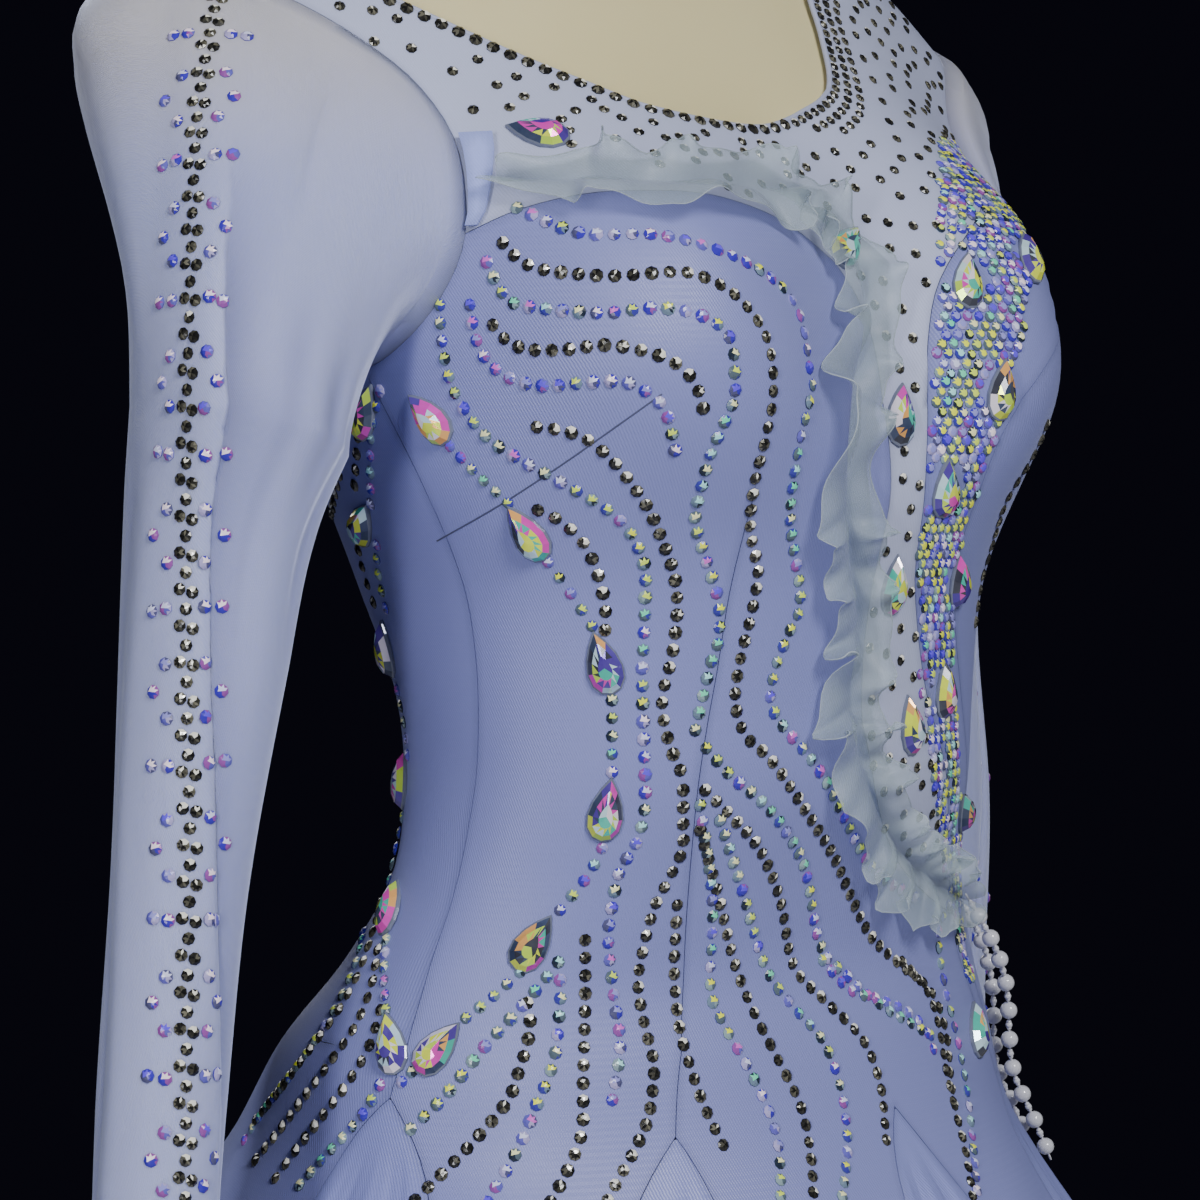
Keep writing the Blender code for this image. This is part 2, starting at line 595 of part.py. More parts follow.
def make_godet(name):
    """A wedge of pleated cloth; its top row lies just under its point."""
    godet = GODETS[name]
    heights = np.array(LEG_HEIGHTS[godet["row"]:])
    half = godet_half(godet, heights)
    share = GODET_TIP if godet["least"] == 0.0 else GODET_TIP_WIDE
    half[0] = half[0] + (half[1] - half[0]) * share
    heights[0] = heights[0] + (heights[1] - heights[0]) * share
    across = np.linspace(0, 1, GODET_COLUMNS + 1)
    angle = godet["angle"] + (2 * across[None, :] - 1) * half[:, None]
    flat = np.stack([angle, np.broadcast_to(heights[:, None], angle.shape)], -1)[::-1]
    pattern = Pattern()
    places, normals = waved_grid(flat, godet_waves(godet))
    pattern.add(flat, places, normals)
    cloth_object(name, pattern, "godet_satin")


# ---- fitted body ------------------------------------------------------------------------------------
def hip_line(*stops):
    """Hip row through the edges of the legs: (angle, cells to the next angle), ..., last angle."""
    line = []
    for (angle, cells), following in zip(stops[:-1], stops[1:]):
        end = following[0]
        line += [(angle + (end - angle) * k / cells, HIP) for k in range(cells)]
    return np.array(line + [(stops[-1][0], HIP)], float)


def make_front_right():
    """Right front: from the side seam to the strip, with a cut seam under the bust and a slash."""
    princess = smooth_line(PRINCESS, BODY_ROWS)
    side_hip = hip_line((-79.5, 6), (-38, 0))
    chest_hip = hip_line((-38, 5), (5, 0))
    wedge_hip = hip_line((5, 1), (17, 3), (58, 0))
    pattern = Pattern()

    def west(i, j):
        return "west" if j == len(side_hip) - 1 and i < PRINCESS_TOP else ""

    def east(i, j):
        return "east" if j == 0 and i < PRINCESS_TOP else ""

    top = join(arm_line(-1, ARM_UNDER, ARM_YOKE), smooth_line(YOKE_SEAM, 3))
    side = smooth_line(SIDE_RIGHT, BODY_ROWS)
    pattern.add_cloth(patch(side_hip, top, side, princess), west)
    rise = smooth_line([(5, HIP), WEDGE_FOOT[0]], HIP_ROWS)
    inner = join(rise, line_of(WEDGE_SIDE)[::-1], line_of(CHEST_FALL)[::-1])
    pattern.add_cloth(patch(chest_hip, line_of(CHEST_SEAM), princess, inner), east)
    pattern.add_cloth(patch(wedge_hip, line_of(WEDGE_FOOT), rise, line_of(HIP_TO_WEDGE)))
    add_leg(pattern, "godet_side_right", "godet_front_right", side_hip[:, 0])
    add_leg(pattern, "godet_front_right", "godet_front", join(chest_hip, wedge_hip[:2])[:, 0])
    add_leg(pattern, "godet_front", "godet_front_left", wedge_hip[1:, 0])
    cloth_object("front_right", pattern, "satin")


def make_front_left():
    pattern = Pattern()
    hip = hip_line((62, 8), (91, 0))
    top = join(line_of(STRIP_OUTER_TOP), arm_line(1, ARM_YOKE, ARM_UNDER))
    pattern.add_cloth(patch(hip, top, line_of(STRIP_OUTER), smooth_line(SIDE_LEFT, BODY_ROWS)))
    add_leg(pattern, "godet_front_left", "godet_side_left", hip[:, 0])
    cloth_object("front_left", pattern, "satin")


def make_back(side):
    """One half of the back, from the side seam to the centre back, with a slash for a godet."""
    centre = smooth_line(CENTRE_BACK, BODY_ROWS)
    pattern = Pattern()
    if side > 0:
        outer, inner = hip_line((91, 4), (134, 0)), hip_line((134, 5), (180, 0))
        top = join(arm_line(1, ARM_UNDER, ARM_BACK), smooth_line(BACK_YOKE_LEFT, BACK_YOKE_CELLS))
        seam = smooth_line(SIDE_LEFT, BODY_ROWS)
        pattern.add_cloth(patch(join(outer, inner), top, seam, centre))
        add_leg(pattern, "godet_side_left", "godet_back_left", outer[:, 0])
        add_leg(pattern, "godet_back_left", "godet_back", inner[:, 0])
        cloth_object("back_left", pattern, "satin")
        return
    inner, outer = hip_line((180, 5), (230, 0)), hip_line((230, 4), (280.5, 0))
    seam = smooth_line(SIDE_RIGHT, BODY_ROWS) + FULL_TURN
    top = join(smooth_line(BACK_YOKE_RIGHT, BACK_YOKE_CELLS), arm_line(-1, ARM_BACK, ARM_UNDER) + FULL_TURN)
    pattern.add_cloth(patch(join(inner, outer), top, centre, seam))
    add_leg(pattern, "godet_back", "godet_back_right", inner[:, 0])
    add_leg(pattern, "godet_back_right", "godet_side_right", outer[:, 0])
    cloth_object("back_right", pattern, "satin")


def make_yokes():
    """Mesh over the chest with its wedge down the front, and mesh over the upper back."""
    front = Pattern()
    bottom = join(arm_line(-1, 0, ARM_YOKE), line_of(YOKE_SEAM), line_of(CHEST_SEAM), line_of(CHEST_FALL),
                  line_of(WEDGE_TOP), line_of(STRIP_INNER_TOP), arm_line(1, ARM_STRIP, 0))
    front.add_cloth(ruled(bottom, NECK_FRONT, YOKE_ROWS))
    left = join(line_of(WEDGE_SIDE), line_of(WEDGE_FOOT))[::-1]
    wedge = patch(np.repeat(left[:1], 3, axis=0), line_of(WEDGE_TOP), left, line_of(STRIP_INNER))
    places = surface(DRESS_TABLE, wedge[..., 0], wedge[..., 1])
    normals = surface_normal(DRESS_TABLE, wedge[..., 0], wedge[..., 1])
    for grid in (wedge, places, normals):
        grid[0] = grid[0] + (grid[1] - grid[0]) * WEDGE_TIP
    front.add(wedge, places, normals)
    cloth_object("yoke_front", front, "mesh")

    back = Pattern()
    shoulder = len(ARMHOLE)
    bottom = join(arm_line(1, shoulder, ARM_BACK), smooth_line(BACK_YOKE_LEFT, BACK_YOKE_CELLS),
                  smooth_line(BACK_YOKE_RIGHT, BACK_YOKE_CELLS), arm_line(-1, ARM_BACK, shoulder) + FULL_TURN)
    back.add_cloth(ruled(bottom, NECK_BACK, YOKE_ROWS))
    cloth_object("yoke_back", back, "mesh")


def make_strip():
    """The beaded strip between the mesh wedge and the left front, from the armhole to the hip."""
    heights = [LEG_HEIGHTS[2], LEG_HEIGHTS[1], HIP]
    inner, outer = HIP_TO_WEDGE[0][0], STRIP_OUTER[0][0]
    left = join(line_of([(inner, z) for z in heights]), line_of(HIP_TO_WEDGE), line_of(STRIP_INNER),
                line_of(STRIP_INNER_TOP))
    right = join(line_of([(outer, z) for z in heights]), line_of(STRIP_OUTER), line_of(STRIP_OUTER_TOP))
    bottom = np.linspace((inner, heights[0]), (outer, heights[0]), 3)
    pattern = Pattern()
    pattern.add_cloth(patch(bottom, arm_line(1, ARM_STRIP, ARM_YOKE), left, right))
    cloth_object("beaded_strip", pattern, "satin")


def make_armhole_band():
    """A short satin strap that lies on the yoke along the front of the right armhole."""
    outer = arm_line(-1, ARM_YOKE, ARM_STRIP)
    outer[:, 0] += BAND_INSET
    outer[0, 1] += BAND_RISE
    outer[2] = outer[1] + (outer[2] - outer[1]) * BAND_TOP
    inner = outer + np.array([[width, 0.0] for width in BAND_WIDTHS])
    pattern = Pattern()
    pattern.add_cloth(np.stack([outer, inner], 1))
    cloth_object("armhole_band", pattern, "satin", inner=LAID_ON + BAND_LIFT)


# ---- sleeves ----------------------------------------------------------------------------------------
def clear_of_body(points, clearance):
    """Points moved straight out from the axis where they are closer than the clearance."""
    height = points[..., 2]
    shift = section_at(DRESS_TABLE, height)[3]
    sideways = points[..., 0]
    forward = shift - points[..., 1]
    angle = np.arctan2(sideways, forward)
    radius = np.hypot(sideways, forward)
    least = radius_at(DRESS_TABLE, angle, height)[0] + clearance
    grow = np.maximum(least / radius, 1.0)
    moved = points.copy()
    moved[..., 0] = sideways * grow
    moved[..., 1] = shift - forward * grow
    return moved


def sleeve_rings(side, tube, turn):
    """Rings from the armhole over the rounded shoulder and down the hanging tube."""
    count = len(ARMHOLE)
    arm = arm_line(side, 0, count - 1)
    start = surface(DRESS_TABLE, arm[:, 0], arm[:, 1])
    normal = surface_normal(DRESS_TABLE, arm[:, 0], arm[:, 1])
    centre = start.mean(axis=0)
    around = np.linspace(0, 2 * pi, count, endpoint=False)
    low = (1 - np.cos(around)) / 2

    def mixed(pair):
        return (pair[0] + (pair[1] - pair[0]) * low)[:, None]

    turned = around + radians(turn) * low
    down = np.array(tube)[::-1]
    tubes = []
    for row, line in enumerate(tube):
        height = line[0] - (UNDERARM_DROP * low if row == 0 else 0.0 * low)
        x, y, radius_x, radius_y = (np.interp(height, down[:, 0], down[:, k]) for k in (1, 2, 3, 4))
        ring = np.stack([x + side * radius_x * np.cos(turned), y - radius_y * np.sin(turned), height], -1)
        tubes.append(ring)
    middle = arm.mean(axis=0)
    near = arm + (middle - arm) * mixed(CAP_TURN_IN)
    lift = (SLEEVE_STAND * (0.35 + 0.65 * low))[:, None]
    second = (surface(DRESS_TABLE, near[:, 0], near[:, 1])
              + surface_normal(DRESS_TABLE, near[:, 0], near[:, 1]) * lift)
    towards = centre - second
    towards = towards - normal * np.sum(towards * normal, axis=1, keepdims=True)
    towards = towards / np.linalg.norm(towards, axis=1, keepdims=True)
    lean = (1.0 - 0.75 * low)[:, None]
    leave = towards * lean + normal * (1 - lean)
    leave = leave / np.linalg.norm(leave, axis=1, keepdims=True)
    leave = leave * mixed(CAP_LEAVE)
    arrive = np.array([0.0, 0.0, -1.0]) * mixed(CAP_ARRIVE)
    rings = [start, second]
    for t in CAP_STEPS:
        ring = ((2 * t**3 - 3 * t**2 + 1) * second + (t**3 - 2 * t**2 + t) * leave
                + (3 * t**2 - 2 * t**3) * tubes[0] + (t**3 - t**2) * arrive)
        rings.append(clear_of_body(ring, SLEEVE_STAND * min(1.0, 0.5 + t)))
    return np.array(rings + tubes), normal


def ring_normals(rings, side, first):
    """Directions out of the tube; the first ring keeps the direction of the cloth that it joins."""
    along = np.gradient(rings, axis=0)
    around = np.roll(rings, -1, axis=1) - np.roll(rings, 1, axis=1)
    normal = np.cross(around, along) * side
    normal = normal / np.linalg.norm(normal, axis=-1, keepdims=True)
    normal[0] = first
    blended = normal[1] + first * 0.8
    normal[1] = blended / np.linalg.norm(blended, axis=-1, keepdims=True)
    return normal


def make_sleeve(name, side, tube, turn):
    rings, first = sleeve_rings(side, tube, turn)
    normals = ring_normals(rings, side, first)
    count = rings.shape[1]
    pattern = Pattern()
    columns = np.arange(count + 1)
    flat = np.stack(np.meshgrid(columns % count, np.arange(len(rings)), indexing="xy"), -1).astype(float)
    pattern.add(flat, rings[:, columns % count], normals[:, columns % count])
    cloth_object(name, pattern, "sleeve_mesh")


# ---- trimmings --------------------------------------------------------------------------------------
def surface_frame(line):
    """Places, directions along, across and out for a line of (angle, height) on the cloth."""
    places = surface(DRESS_TABLE, line[:, 0], line[:, 1])
    out = surface_normal(DRESS_TABLE, line[:, 0], line[:, 1])
    along = np.gradient(places, axis=0)
    along = along / np.linalg.norm(along, axis=1, keepdims=True)
    across = np.cross(out, along)
    across = across / np.linalg.norm(across, axis=1, keepdims=True)
    return places, along, across, out


def make_ruffle():
    """A gathered frill held along its middle, with waves on both free edges."""
    columns = RUFFLE["waves"] * RUFFLE["steps"]
    line = smooth_line(RUFFLE_LINE, columns)
    places, along, across, out = surface_frame(line)
    column = np.arange(columns + 1)
    phase = 2 * pi * column / RUFFLE["steps"]
    ease = np.minimum(1.0, np.minimum(column, columns - column) / RUFFLE["steps"] + 0.3)
    middle = places + out * (LAID_ON + RUFFLE["lift"])

    def edge(direction, reach, turn):
        height = RUFFLE["stand"] + RUFFLE["wave"] * np.sin(phase + turn) * ease
        width = reach * (1 + RUFFLE["scallop"] * np.cos(phase + turn)) * ease
        return middle + across * (direction * width)[:, None] + out * height[:, None]

    grid = np.array([edge(-1, RUFFLE["lower"], RUFFLE["slip"]), middle, edge(1, RUFFLE["upper"], 0.0)])
    normals = np.cross(np.gradient(grid, axis=1), np.gradient(grid, axis=0))
    normals = normals / np.linalg.norm(normals, axis=-1, keepdims=True)
    normals = normals * np.sign(np.sum(normals * out[None], axis=-1, keepdims=True))
    flat = np.stack(np.meshgrid(column, np.arange(3), indexing="xy"), -1).astype(float)
    pattern = Pattern()
    pattern.add(flat, grid, normals)
    cloth_object("ruffle", pattern, "tulle", inner=0.0, wall=RUFFLE["wall"], gap=0.0)


def drop_outline(t):
    """Half width of a drop stone along its length, 0 at the tip and 1 at the round end."""
    return 0.5 * DROP_WIDTH * np.sin(pi * t**0.72)**0.75


def make_chain(name, drops):
    """A bead chain with raised drop stones, lying on the cloth."""
    line = smooth_line(drops, 60)
    places = surface(DRESS_TABLE, line[:, 0], line[:, 1])
    run = np.concatenate([[0.0], np.cumsum(np.linalg.norm(np.diff(places, axis=0), axis=1))])
    centres = []
    for angle, height in drops:
        nearest = np.argmin(np.linalg.norm(places - surface(DRESS_TABLE, angle, height), axis=1))
        centres.append(run[nearest])
    reach = DROP_LENGTH / 2 + REST
    centres[0] = max(centres[0], reach)
    centres[-1] = min(centres[-1], run[-1] - reach)
    stations = []
    for number, centre in enumerate(centres):
        for t in DROP_STATIONS:
            high = DROP_HEIGHT if DROP_RAISED[0] < t < DROP_RAISED[1] else CHAIN_HEIGHT
            half = max(drop_outline(t), CHAIN_WIDTH / 2)
            stations.append((centre + (t - 0.5) * DROP_LENGTH, half, high))
        if number + 1 < len(centres):
            between = (centre + centres[number + 1]) / 2
            stations.append((between, CHAIN_WIDTH / 2, CHAIN_HEIGHT))
    station_line = np.stack([np.interp([s[0] for s in stations], run, line[:, k]) for k in (0, 1)], -1)
    places, along, across, out = surface_frame(station_line)
    rings = []
    for k, (_, half, height) in enumerate(stations):
        foot = places[k] + out[k] * (LAID_ON + CHAIN_LIFT)
        crown = foot + out[k] * height
        table = across[k] * half * DROP_TABLE_WIDTH
        rings.append([foot - across[k] * half, foot + across[k] * half, crown + table, crown - table])
    tube_object(name, rings, "crystal")


def make_pearls(name, top, foot, stand, beads):
    """A string of round beads on a thread, hanging just off the skirt."""
    steps = np.linspace(0, 1, 41)
    line = np.array(top) + (np.array(foot) - np.array(top)) * steps[:, None]
    places, along, across, out = surface_frame(line)
    seat = LAID_ON + THREAD_LIFT + THREAD_RADIUS
    lift = seat + (stand - seat) * np.sin(pi / 2 * np.minimum(1.0, steps / HANGS_FREE))
    route = places + out * lift[:, None]
    run = np.concatenate([[0.0], np.cumsum(np.linalg.norm(np.diff(route, axis=0), axis=1))])
    pitch = (run[-1] - THREAD_START) / beads
    flank = PEARL_RADIUS * BEAD_FLANK
    stations = [(0.0, THREAD_RADIUS)]
    for bead in range(beads):
        centre = THREAD_START + pitch * (bead + 0.5)
        stations += [(centre - flank, PEARL_RADIUS * BEAD_GIRTH), (centre + flank, PEARL_RADIUS * BEAD_GIRTH),
                     (centre + pitch / 2, THREAD_RADIUS)]
    turn = np.linspace(0, 2 * pi, 6, endpoint=False)
    rings = []
    for s, radius in stations:
        centre, side, face = (np.array([np.interp(s, run, grid[:, k]) for k in range(3)])
                              for grid in (route, across, out))
        rings.append([centre + radius * (side * cos(a) + face * sin(a)) for a in turn])
    tube_object(name, rings, "pearl")


def main():
    for old in list(bpy.data.objects):
        bpy.data.objects.remove(old)
    make_form()
    make_stand()
    make_front_right()
    make_front_left()
    make_back(1)
    make_back(-1)
    make_yokes()
    make_strip()
    make_armhole_band()
    make_sleeve("sleeve_right", -1, SLEEVE_RIGHT, 0.0)
    make_sleeve("sleeve_left", 1, SLEEVE_LEFT, SLEEVE_LEFT_TURN)
    for name in GODETS:
        make_godet(name)
    make_ruffle()
    for name, chain in CHAINS.items():
        make_chain(name, chain)
    for name, string in PEARLS.items():
        make_pearls(name, **string)


main()
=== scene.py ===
from math import cos, pi, radians, sin

import bmesh
import bpy
import numpy as np
from mathutils import Matrix, Vector
from mathutils.bvhtree import BVHTree


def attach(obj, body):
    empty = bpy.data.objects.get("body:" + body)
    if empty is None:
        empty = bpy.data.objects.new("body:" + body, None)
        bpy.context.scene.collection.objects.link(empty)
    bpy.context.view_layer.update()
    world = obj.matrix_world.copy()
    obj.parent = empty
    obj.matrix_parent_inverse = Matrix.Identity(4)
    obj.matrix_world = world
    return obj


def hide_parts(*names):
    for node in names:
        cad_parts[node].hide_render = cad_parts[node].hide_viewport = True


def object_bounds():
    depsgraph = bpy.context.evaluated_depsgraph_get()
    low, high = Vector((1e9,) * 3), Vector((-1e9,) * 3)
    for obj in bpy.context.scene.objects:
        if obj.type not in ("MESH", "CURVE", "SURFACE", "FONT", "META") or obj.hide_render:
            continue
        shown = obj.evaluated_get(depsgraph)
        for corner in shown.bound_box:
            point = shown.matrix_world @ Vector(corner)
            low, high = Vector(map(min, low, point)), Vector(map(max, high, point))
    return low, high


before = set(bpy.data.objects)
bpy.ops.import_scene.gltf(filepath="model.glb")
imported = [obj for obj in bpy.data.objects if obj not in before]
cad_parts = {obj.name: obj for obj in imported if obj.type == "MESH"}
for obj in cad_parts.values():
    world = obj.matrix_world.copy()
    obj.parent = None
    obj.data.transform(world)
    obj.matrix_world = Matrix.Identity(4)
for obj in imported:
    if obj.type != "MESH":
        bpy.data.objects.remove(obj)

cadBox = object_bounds()
print("frame loaded:", len(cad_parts), "solids")

# The dress is drawn over the same torso lines as the solids, only finer. A place on the cloth is
# (angle, height): degrees round the upright axis, 0 at the centre front, + to the wearer's left.

# camera, placed first because the stone lines are laid out in its picture
view = dict(azimuth=-42.0, elevation=2.0, distance=1.45, metresPerPixel=0.385e-3,
            aimHeight=1.115, aimSide=-0.033, picture=1200)


def cameraAxes():
    turn, tilt = radians(-view["azimuth"]), radians(view["elevation"])
    back = np.array([-sin(turn) * cos(tilt), -cos(turn) * cos(tilt), sin(tilt)])
    right = np.cross(-back, (0.0, 0.0, 1.0))
    right = right / np.linalg.norm(right)
    up = np.cross(right, -back)
    aim = np.array([0.0, 0.0, view["aimHeight"]]) + right * view["aimSide"]
    return aim + back * view["distance"], right, up, back


eye, eyeRight, eyeUp, eyeBack = cameraAxes()
focus = view["distance"] / view["metresPerPixel"]     # focal length in picture pixels
halfPicture = view["picture"] / 2
cameraData = bpy.data.cameras.new("camera")
cameraData.sensor_width = 36.0
cameraData.lens = 36.0 * focus / view["picture"]
cameraData.clip_start = 0.05
cameraData.clip_end = 50.0
camera = bpy.data.objects.new("camera", cameraData)
bpy.context.scene.collection.objects.link(camera)
camera.matrix_world = Matrix(((eyeRight[0], eyeUp[0], eyeBack[0], eye[0]),
                              (eyeRight[1], eyeUp[1], eyeBack[1], eye[1]),
                              (eyeRight[2], eyeUp[2], eyeBack[2], eye[2]),
                              (0.0, 0.0, 0.0, 1.0)))
bpy.context.scene.camera = camera


# torso lines
hip, hem = 0.955, 0.030
torsoRows = [
    # height, halfWidth, front, back, shiftBack
    (0.700, 0.142, 0.090, 0.102, 0.020), (0.760, 0.156, 0.100, 0.118, 0.022),
    (0.820, 0.163, 0.106, 0.130, 0.024), (0.870, 0.164, 0.107, 0.136, 0.026),
    (0.910, 0.157, 0.104, 0.131, 0.023), (0.950, 0.152, 0.092, 0.106, 0.019),
    (0.980, 0.140, 0.073, 0.084, 0.008), (1.010, 0.126, 0.070, 0.078, -0.001),
    (1.050, 0.118, 0.077, 0.088, -0.007), (1.080, 0.119, 0.080, 0.092, -0.006),
    (1.120, 0.124, 0.091, 0.110, 0.000), (1.160, 0.138, 0.102, 0.118, 0.004),
    (1.200, 0.146, 0.106, 0.118, 0.016), (1.240, 0.151, 0.110, 0.110, 0.032),
    (1.280, 0.154, 0.112, 0.096, 0.054), (1.310, 0.156, 0.110, 0.086, 0.070),
    (1.340, 0.154, 0.100, 0.080, 0.080), (1.365, 0.144, 0.086, 0.072, 0.083),
    (1.385, 0.116, 0.074, 0.064, 0.082), (1.405, 0.082, 0.066, 0.058, 0.078),
    (1.430, 0.061, 0.060, 0.055, 0.072), (1.465, 0.055, 0.055, 0.053, 0.064),
    (1.500, 0.054, 0.054, 0.053, 0.060),
]
skirtRows = [
    (0.030, 0.490, 0.490, 0.490, 0.000), (0.150, 0.472, 0.472, 0.472, 0.000),
    (0.300, 0.438, 0.436, 0.437, 0.000), (0.450, 0.390, 0.382, 0.386, 0.001),
    (0.600, 0.322, 0.306, 0.316, 0.003), (0.700, 0.270, 0.246, 0.264, 0.006),
    (0.800, 0.208, 0.182, 0.212, 0.012), (0.850, 0.189, 0.147, 0.184, 0.018),
    (0.885, 0.174, 0.124, 0.160, 0.022), (0.910, 0.161, 0.110, 0.139, 0.023),
]
swells = [
    # fromFront, height, proud, spread, reachUp, reachDown, roundness
    (36.0, 1.226, 0.0335, 24.0, 0.064, 0.061, 3.0),
    (90.0, 1.3165, 0.0595, 20.0, 0.050, 0.049, 2.0),
]
fullness = 2.25     # 2 would make every section an ellipse
torsoTable = np.array(sorted(torsoRows))
dressTable = np.array(sorted(skirtRows + [row for row in torsoRows if row[0] >= 0.945]))


def hermite(t, first, leave, last, arrive):
    return ((2 * t**3 - 3 * t**2 + 1) * first + (t**3 - 2 * t**2 + t) * leave
            + (3 * t**2 - 2 * t**3) * last + (t**3 - t**2) * arrive)


def sectionAt(table, height):
    knots = table[:, 0]
    height = np.clip(height, knots[0], knots[-1])
    index = np.clip(np.searchsorted(knots, height) - 1, 0, len(knots) - 2)
    step = knots[index + 1] - knots[index]
    t = (height - knots[index]) / step
    values = []
    for column in range(1, 5):
        value = table[:, column]
        slope = np.gradient(value, knots)
        leave, arrive = step * slope[index], step * slope[index + 1]
        values.append(hermite(t, value[index], leave, value[index + 1], arrive))
    return values


def radiusAt(table, angle, height, full=1.0):
    halfWidth, front, back, shift = sectionAt(table, height)
    depth = np.where(np.cos(angle) > 0, front, back)
    radius = (np.abs(np.sin(angle) / halfWidth)**fullness
              + np.abs(np.cos(angle) / depth)**fullness)**(-1 / fullness)
    for fromFront, level, proud, spread, reachUp, reachDown, roundness in swells:
        reach = np.where(height > level, reachUp, reachDown)
        upright = np.exp(-np.abs((height - level) / reach)**roundness)
        for side in (-1, 1):
            turn = (angle - side * radians(fromFront) + pi) % (2 * pi) - pi
            radius = radius + full * proud * upright * np.exp(-(turn / radians(spread))**2)
    return radius, shift


def surface(table, degreesRound, height, out=0.0, full=1.0):
    angle = np.radians(np.asarray(degreesRound, float))
    angle, height, out = np.broadcast_arrays(angle, np.asarray(height, float), out)
    radius, shift = radiusAt(table, angle, height, full)
    radius = radius + out
    return np.stack([radius * np.sin(angle), shift - radius * np.cos(angle), height], -1)


def unit(vectors):
    return vectors / np.maximum(np.linalg.norm(vectors, axis=-1, keepdims=True), 1e-9)


def surfaceNormal(table, degreesRound, height):
    degreesRound, height = np.asarray(degreesRound, float), np.asarray(height, float)
    sideways = surface(table, degreesRound + 0.2, height) - surface(table, degreesRound - 0.2, height)
    upward = surface(table, degreesRound, height + 0.0008) - surface(table, degreesRound, height - 0.0008)
    return unit(np.cross(sideways, upward))


# cut lines of the panels, (angle, height)
fine = 4        # steps drawn in each cell of the pattern
armhole = [
    (0.0, 1.352), (8.5, 1.345), (16.5, 1.333), (23.0, 1.318), (28.0, 1.300), (30.0, 1.276),
    (27.0, 1.248), (20.0, 1.226), (11.0, 1.210), (2.0, 1.202), (-8.0, 1.206), (-17.0, 1.216),
    (-24.0, 1.232), (-28.0, 1.252), (-30.0, 1.278), (-27.0, 1.303), (-20.0, 1.325), (-10.5, 1.342),
]
armStrip, armYoke, armUnder, armBack = 4, 6, 9, 13
neckFront = [(-90, 1.366), (-82, 1.358), (-74, 1.349), (-67, 1.339), (-60, 1.329), (-55, 1.322),
             (-50, 1.3155), (-45, 1.3095), (-39, 1.303), (-33, 1.2965), (-28, 1.2935), (-22, 1.2915),
             (-16, 1.2905), (-10, 1.2904), (-5, 1.2915), (-1, 1.2935), (3, 1.296), (6, 1.2983),
             (9, 1.3005), (12, 1.303), (15, 1.306), (18, 1.310), (22, 1.319), (27, 1.334), (33, 1.352),
             (45, 1.367), (56, 1.372), (67, 1.3755), (79, 1.379), (90, 1.379)]
neckBack = [(90, 1.379), (98, 1.376), (106, 1.372), (113, 1.368), (121, 1.363), (134, 1.354),
            (143, 1.349), (152, 1.345), (161, 1.342), (170, 1.340), (180, 1.339), (190, 1.340),
            (199, 1.342), (208, 1.344), (217, 1.347), (226, 1.351), (239, 1.357), (247, 1.360),
            (254, 1.362), (262, 1.364), (270, 1.366)]
yokeSeam = [(-63, 1.248), (-54, 1.256), (-44, 1.261), (-33, 1.262)]
chestSeam = [(-33, 1.262), (-28, 1.261), (-22, 1.258), (-16, 1.254), (-10, 1.248), (-4, 1.240)]
chestFall = [(-4, 1.240), (-1, 1.231), (1, 1.219), (2, 1.205), (2, 1.190)]
wedgeTop = [(2, 1.190), (7, 1.190), (12, 1.190)]
wedgeSide = [(2, 1.190), (3, 1.172), (4, 1.153), (4, 1.133), (3.4, 1.112), (3.6, 1.092), (5, 1.072)]
wedgeFoot = [(5, 1.072), (13, 1.045), (27, 1.023), (44, 1.005), (61, 0.990)]
hipToWedge = [(58, hip), (59.6, 0.973), (61, 0.990)]
stripInner = [(61, 0.990), (55, 1.018), (47, 1.040), (39, 1.060), (31, 1.080), (24, 1.101), (18, 1.125),
              (14.5, 1.148), (12.5, 1.165), (12, 1.178), (12, 1.190)]
stripInnerTop = [(12, 1.190), (13, 1.212), (17, 1.235), (26, 1.256), (42, 1.280), (62, 1.300)]
stripOuter = [(62, hip), (64.5, 0.972), (67, 0.990), (66, 1.016), (61, 1.040), (54, 1.062), (47, 1.084),
              (40, 1.104), (34, 1.125), (30, 1.145), (27.5, 1.163), (27, 1.178), (29, 1.192)]
stripOuterTop = [(29, 1.192), (34, 1.205), (41, 1.217), (49, 1.229), (57, 1.240), (63, 1.248)]
princess = [(-38, hip), (-41, 0.980), (-43.5, 1.004), (-44.5, 1.028), (-44, 1.052), (-41.5, 1.076),
            (-38, 1.099), (-35, 1.121), (-32.5, 1.142), (-30.5, 1.163), (-29.5, 1.196), (-30.5, 1.229),
            (-33, 1.262)]
princessTop = 9
sideRight = [(-79.5, hip), (-84, 0.997), (-86, 1.039), (-84, 1.080), (-82, 1.121), (-84, 1.162),
             (-88, 1.202)]
sideLeft = [(91, hip), (88.5, 0.997), (87, 1.039), (84.5, 1.080), (82.5, 1.121), (84, 1.162),
            (88, 1.202)]
centreBack = [(180, hip), (180, 1.210)]
backYokeLeft = [(118, 1.252), (130, 1.246), (148, 1.231), (180, 1.210)]
backYokeRight = [(180, 1.210), (212, 1.231), (230, 1.246), (242, 1.252)]
bodyRows, yokeRows, hipRows, backYokeCells = 12, 4, 2, 5
legHeights = [hip, 0.940, 0.925, 0.900, 0.860, 0.790, 0.680, 0.500, 0.270, hem]
fullTurn = np.array([360.0, 0.0])
metresPerDegree = 0.0025      # round the body, near enough for spacing points on a line


def runAlong(places):
    return np.concatenate([[0.0], np.cumsum(np.linalg.norm(np.diff(places, axis=0), axis=1))])


